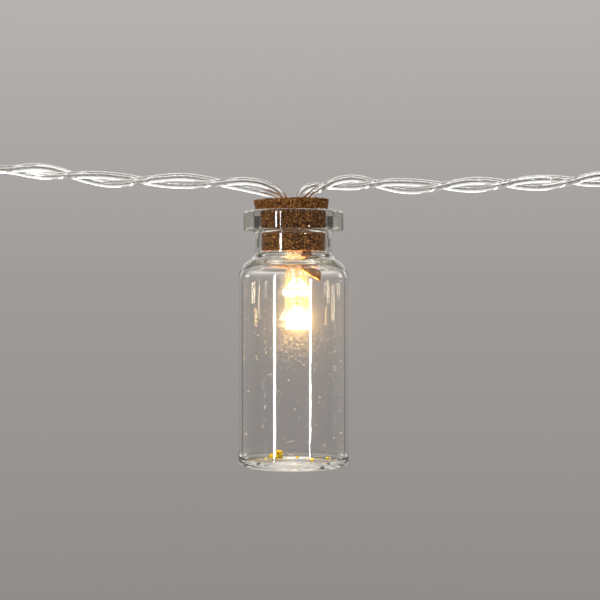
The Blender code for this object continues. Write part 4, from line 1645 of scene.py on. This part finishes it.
        def uneven(point: Vector, _: Vector) -> Vector:
            """Bend the wall by hundredths of a millimetre and ripple the base."""
            across = math.hypot(point.x, point.y)
            if across < 1e-6:
                return point
            way = Vector((point.x / across, point.y / across, 0.0))
            sway = noise.noise(Vector((way.x * 2.2, way.y * 2.2, point.z / (22 * MM))))
            place = point + way * sway * 0.025 * MM
            if point.z < base_side + 0.4 * MM and across < 10.2 * MM:
                swirl = across / (0.62 * MM) + math.atan2(point.y, point.x) / TURN
                depth = 0.08 * MM if point.z < base_side else 0.03 * MM
                fade = min(1.0, across / (2.0 * MM)) * min(1.0, (10.2 * MM - across) / (1.0 * MM))
                place.z += depth * fade * math.sin(TURN * swirl)
            return place

        reshape(mesh, uneven)
        place_piece(mesh, GLASS, Body.JAR, ["glass_jar"])

    def build_dust(self) -> None:
        """Build the specks and short fibres on the inside of the wall, thickest below the lamp, with the lamp's light
        painted on them as a glow.
        """
        draw = np.random.default_rng(41)
        specks = []
        for i in range(self.near_specks + self.far_specks):
            if i < self.near_specks:
                z = draw.normal(-31.4, 2.7) * MM
                angle = draw.normal(0.03, 0.3) + draw.choice((-1.0, 1.0)) * TURN / 4
            else:
                z = draw.uniform(-54.0, -20.5) * MM
                angle = draw.uniform(0.0, TURN)
            z = min(-20.0 * MM, max(-54.0 * MM, z))
            size = (self.speck_size[0] + self.speck_size[1] * draw.random() ** 2) * MM
            if i < self.near_specks:
                size *= 0.6
            reach = self.bore - size * 0.6
            centre = Vector((reach * math.cos(angle), reach * math.sin(angle), z))
            specks.append(lump(f"speck_{i}", centre, size, float(draw.uniform(0.0, 90.0)), 1))
        for angle, z, length in self.fibres:
            share = np.linspace(-0.5, 0.5, 12)
            turn = angle + share * length / self.bore
            reach = self.bore - 0.03 * MM
            rise = z + 0.2 * length * (share - share**2 * 2)
            path = np.stack([reach * np.cos(turn), reach * np.sin(turn), rise], axis=1)
            specks.append(tube("fibre", path, 0.018 * MM, 6))
        mesh = joined("wall_dust", specks)
        paint_light(mesh, self.dust_light)
        place_piece(mesh, DUST, Body.JAR)

    def build(self) -> None:
        """Build the glass and the dust on it."""
        self.build_glass()
        self.build_dust()


@dataclass
class Crumbs:
    """The cork crumbs that have fallen to the floor of the jar."""

    jar: GlassJar
    clump_place: tuple[float, float] = (-3.5 * MM, 5.4 * MM)
    clump_lumps: tuple[tuple[float, float, float, float], ...] = (
        (0.0, 0.0, 0.55, 0.75),
        (-1.0, 0.1, 0.35, 0.55),
        (0.55, -0.15, 1.2, 0.6),
        (0.65, 0.25, 0.4, 0.6),
    )
    loose: tuple[tuple[float, float, float], ...] = (
        (0.75 * MM, 7.0 * MM, 0.35 * MM),
        (3.7 * MM, -0.9 * MM, 0.45 * MM),
        (7.0 * MM, 3.6 * MM, 0.4 * MM),
    )

    def build_clump(self) -> None:
        """Build the clump from many small granules."""
        x, y = self.clump_place
        ground = self.jar.floor_height(x, y)
        draw = np.random.default_rng(7)
        lumps = []
        for i, (dx, dy, up, radius) in enumerate(self.clump_lumps):
            middle = Vector((x + dx * MM, y + dy * MM, ground + (up + 0.3) * MM))
            lumps.append(lump(f"core_{i}", middle, radius * 0.6 * MM, 5.0 * i))
            for j in range(34):
                way = Vector(draw.normal(size=3)).normalized()
                size = draw.uniform(0.13, 0.26) * MM
                spot = middle + way * radius * draw.uniform(0.6, 1.05) * MM
                spot.z = max(spot.z, ground + size * 0.9)
                lumps.append(lump(f"granule_{i}_{j}", spot, size, float(draw.uniform(0.0, 60.0)), 2))
        place_piece(joined("granule_clump", lumps), LOOSE_CORK, Body.JAR, ["crumb_clump"])

    def build_loose(self) -> None:
        """Build the loose crumbs and the fine grit round them."""
        for i, (x, y, radius) in enumerate(self.loose):
            centre = Vector((x, y, self.jar.floor_height(x, y) + radius * 0.85))
            crumb = lump(f"fallen_crumb_{i + 1}", centre, radius * 0.9, 13.0 * i + 4.0)
            place_piece(crumb, LOOSE_CORK, Body.JAR, [f"loose_crumb_{i + 1}"])
        draw = np.random.default_rng(19)
        grit = []
        for i in range(110):
            reach = (9.3 if i % 3 else 8.0) * MM * draw.random() ** (0.12 if i % 3 else 0.5)
            angle = draw.uniform(0.0, TURN)
            x, y = reach * math.cos(angle), reach * math.sin(angle)
            size = draw.uniform(0.05, 0.17) * MM
            grit.append(
                lump(f"grit_{i}", Vector((x, y, self.jar.ground_at(x, y) + size * 0.8)), size, float(i), 1)
            )
        place_piece(joined("floor_grit", grit), LOOSE_CORK, Body.JAR)

    def build(self) -> None:
        """Build every crumb."""
        self.build_clump()
        self.build_loose()


# Studio


@dataclass
class Softbox:
    """A plain rectangular studio light that the camera doesn't see itself."""

    name: str
    place: tuple[float, float, float]
    width: float
    height: float
    brightness: float
    colour: Colour = (1.0, 1.0, 1.0)
    see_through: bool = True

    def build(self) -> None:
        """Hang the light, facing the axis of the jar."""
        data = bpy.data.lights.new(self.name, "AREA")
        data.shape = "RECTANGLE"
        data.size, data.size_y = self.width, self.height
        data.energy = self.brightness * math.pi * self.width * self.height
        data.color = self.colour
        light = bpy.data.objects.new(self.name, data)
        bpy.context.scene.collection.objects.link(light)
        light.location = self.place
        x, y, z = self.place
        aim = Vector((-x, -y, -z if z > 0.5 else 0.0))
        light.rotation_euler = aim.to_track_quat("-Z", "Y").to_euler()
        light.visible_camera = False
        light.visible_transmission = self.see_through


@dataclass
class Kicker:
    """A small warm light at the side, which draws a short upright streak on the wall of the jar."""

    azimuth: float
    height: float
    tall: float
    wide: float
    brightness: float
    colour: Colour
    distance: float = 170.0 * MM

    def build(self, name: str) -> None:
        """Hang the light under this name, at its azimuth from the camera's side."""
        turn = math.radians(self.azimuth)
        place = (self.distance * math.sin(turn), -self.distance * math.cos(turn), self.height)
        Softbox(name, place, self.wide, self.tall, self.brightness, self.colour).build()


@dataclass
class Card:
    """A curved card round the jar that only glass and metal see."""

    name: str
    azimuths: tuple[float, float]
    heights: tuple[float, float]
    mirrored: bool = False
    distance: float = 0.9
    finish: Finish = BLACK_CARD
    see_through: bool = True

    def build(self) -> None:
        """Stand the card, its azimuths in degrees from straight behind the jar."""
        start, end = self.azimuths
        steps = max(1, round(abs(end - start) / 4))
        shape = bmesh.new()
        columns = []
        for i in range(steps + 1):
            angle = math.radians(start + (end - start) * i / steps)
            x, y = self.distance * math.sin(angle), self.distance * math.cos(angle)
            columns.append([shape.verts.new((x, y, z)) for z in self.heights])
        for (low, high), (low_next, high_next) in zip(columns, columns[1:]):
            shape.faces.new((low, low_next, high_next, high))
        mesh = bpy.data.meshes.new(self.name)
        shape.to_mesh(mesh)
        shape.free()
        mesh.materials.append(self.finish.material())
        card = bpy.data.objects.new(self.name, mesh)
        bpy.context.scene.collection.objects.link(card)
        card.visible_camera = card.visible_diffuse = card.visible_shadow = False
        card.visible_glossy = self.mirrored
        card.visible_transmission = self.see_through


@dataclass
class Studio:
    """The camera, the paper round the set, and the lights."""

    camera_place: tuple[float, float, float] = (1.3 * MM, -280.0 * MM, -23.2 * MM)
    lens: float = 84.0
    paper_radius: float = 1.3
    floor_height: float = -0.42
    boxes: tuple[Softbox, ...] = (
        Softbox("strip", (-0.4, -0.475, 0.0368), 0.0305, 0.3265, 42.0),
        Softbox("second_strip", (0.346, -0.514, -0.0627), 0.0235, 0.1216, 34.0, see_through=False),
        Softbox("top_box", (0.0, 0.32, 0.72), 0.9, 0.24, 5.0),
    )
    kickers: tuple[Kicker, ...] = (
        Kicker(-92.0, -20.4 * MM, 7.5 * MM, 6.0 * MM, 27.0, (1.0, 0.82, 0.56)),
        Kicker(-84.0, -28.4 * MM, 6.0 * MM, 4.5 * MM, 30.0, (1.0, 0.66, 0.26)),
        Kicker(91.0, -24.0 * MM, 11.0 * MM, 4.5 * MM, 25.0, (1.0, 0.8, 0.54)),
        Kicker(70.0, -19.6 * MM, 5.4 * MM, 3.5 * MM, 15.0, (1.0, 0.88, 0.7)),
        Kicker(107.0, -19.8 * MM, 3.7 * MM, 4.5 * MM, 17.0, (1.0, 0.84, 0.6)),
    )
    cards: tuple[Card, ...] = (
        Card("right_edge_card", (34.5, 39.5), (-0.152, -0.004)),
        Card("left_edge_card", (-39.5, -34.5), (-0.152, -0.004)),
        Card("right_neck_card", (24.0, 42.0), (0.014, 0.0295)),
        Card("left_neck_card", (-42.0, -24.0), (0.014, 0.0295)),
        Card("right_lip_card", (38.0, 74.0), (0.0305, 0.08)),
        Card("left_lip_card", (-74.0, -38.0), (0.0305, 0.08)),
        Card("front_card", (75.0, 285.0), (-0.28, 0.22), mirrored=True),
        Card("low_front_card", (90.0, 270.0), (-0.41, -0.09), mirrored=True, distance=0.3),
        Card("rear_fill", (-20.0, 20.0), (0.27, 1.0), mirrored=True, finish=WHITE_CARD),
        Card("right_shoulder_fill", (12.0, 22.0), (0.085, 0.27), distance=0.88, finish=BRIGHT_CARD),
        Card("left_shoulder_fill", (-20.0, -12.0), (0.1, 0.2), distance=0.88, finish=BRIGHT_CARD),
        Card("right_low_fill", (14.0, 30.0), (-0.34, -0.19), distance=0.88, finish=BRIGHT_CARD),
        Card("left_low_fill", (-30.0, -14.0), (-0.34, -0.19), distance=0.88, finish=BRIGHT_CARD),
        Card("right_shoulder_shine", (11.0, 42.0), (0.12, 0.5), True, 0.86, BRIGHT_CARD, see_through=False),
        Card("left_shoulder_shine", (-42.0, -11.0), (0.12, 0.5), True, 0.86, BRIGHT_CARD, see_through=False),
        Card("right_contour_card", (37.0, 60.0), (0.09, 0.75), distance=0.88),
        Card("left_contour_card", (-60.0, -37.0), (0.09, 0.75), distance=0.88),
        Card("right_side_fill", (62.0, 120.0), (0.29, 0.7), distance=0.5, finish=BRIGHT_CARD),
        Card("left_side_fill", (-120.0, -62.0), (0.29, 0.7), distance=0.5, finish=BRIGHT_CARD),
        Card("right_grey_card", (22.0, 36.0), (0.12, 0.72), distance=0.88, finish=GREY_CARD),
        Card("left_grey_card", (-36.0, -22.0), (0.12, 0.72), distance=0.88, finish=GREY_CARD),
        Card("right_foot_shine", (10.0, 60.0), (-0.4, -0.17), True, 0.86, FOOT_CARD, see_through=False),
        Card("left_foot_shine", (-60.0, -10.0), (-0.4, -0.17), True, 0.86, FOOT_CARD, see_through=False),
        Card("right_upper_stripe", (12.0, 100.0), (-0.25, -0.225), distance=0.2),
        Card("left_upper_stripe", (-100.0, -12.0), (-0.25, -0.225), distance=0.2),
        Card("right_lower_stripe", (12.0, 100.0), (-0.35, -0.32), distance=0.2),
        Card("left_lower_stripe", (-100.0, -12.0), (-0.35, -0.32), distance=0.2),
    )

    def build_camera(self) -> None:
        """Set up the camera, level with the lamp as in the photograph."""
        data = bpy.data.cameras.new("camera")
        data.lens = self.lens
        camera = bpy.data.objects.new("camera", data)
        bpy.context.scene.collection.objects.link(camera)
        camera.location = self.camera_place
        camera.rotation_euler = (math.pi / 2, 0.0, 0.0)
        bpy.context.scene.camera = camera

    def build_paper(self) -> None:
        """Build the pale floor that curves up into the paper all round."""
        radius, floor, curve = self.paper_radius, self.floor_height, 0.3
        profile: Profile = [(0.0, floor)]
        profile += arc((radius - curve, floor + curve), curve, -90, 0, 12)
        profile += arc((0.0, 0.2), radius, 0, 90, 20)
        profile[-1] = (0.0, profile[-1][1])
        mesh = turned("paper_round_the_set", even_steps(profile, 0.3), 96)
        mesh.materials.append(PAPER.material())
        paper = bpy.data.objects.new(mesh.name, mesh)
        bpy.context.scene.collection.objects.link(paper)

    def build_lights(self) -> None:
        """Hang an upright strip at the front left, a long box above and small warm kickers at the sides."""
        for box in self.boxes:
            box.build()
        for i, kicker in enumerate(self.kickers):
            kicker.build(f"kicker_{i}")

    def set_view(self) -> None:
        """Set the tones of the picture, deep light paths for glass, and a soft bloom round bright light."""
        scene = bpy.context.scene
        scene.view_settings.view_transform = "Standard"
        scene.cycles.sample_clamp_indirect = 0.0
        scene.cycles.max_bounces = 32
        scene.cycles.transmission_bounces = 32
        scene.cycles.transparent_max_bounces = 16
        scene.cycles.glossy_bounces = 24
        scene.use_nodes = True
        tree = scene.node_tree
        tree.nodes.clear()
        layers = tree.nodes.new("CompositorNodeRLayers")
        bloom = tree.nodes.new("CompositorNodeGlare")
        bloom.glare_type = "FOG_GLOW"
        bloom.quality = "HIGH"
        for name, value in (("Threshold", 1.6), ("Strength", 1.35), ("Size", 0.5), ("Tint", (1.0, 0.78, 0.46, 1.0))):
            bloom.inputs[name].default_value = value
        out = tree.nodes.new("CompositorNodeComposite")
        tree.links.new(layers.outputs["Image"], bloom.inputs["Image"])
        tree.links.new(bloom.outputs["Image"], out.inputs["Image"])

    def build(self) -> None:
        """Build the whole set."""
        self.build_camera()
        self.build_paper()
        for card in self.cards:
            card.build()
        self.build_lights()
        self.set_view()


def main() -> None:
    """Build the studio, then the jar light from the cord down."""
    logging.basicConfig(level=logging.INFO, format="%(message)s")
    Studio().build()
    plug = Connector(ConnectorKind.PLUG, Side.LEFT, (-61.0 * MM, 3.0 * MM)).build()
    socket = Connector(ConnectorKind.SOCKET, Side.RIGHT, (63.6 * MM, 1.07 * MM)).build()
    TwistedCord(Side.LEFT, LEFT_ROUTE).build(plug)
    TwistedCord(Side.RIGHT, RIGHT_ROUTE).build(socket)
    Lamp().build()
    CorkStopper().build()
    jar = GlassJar()
    jar.build()
    Crumbs(jar).build()


if __name__ == "__main__":
    main()
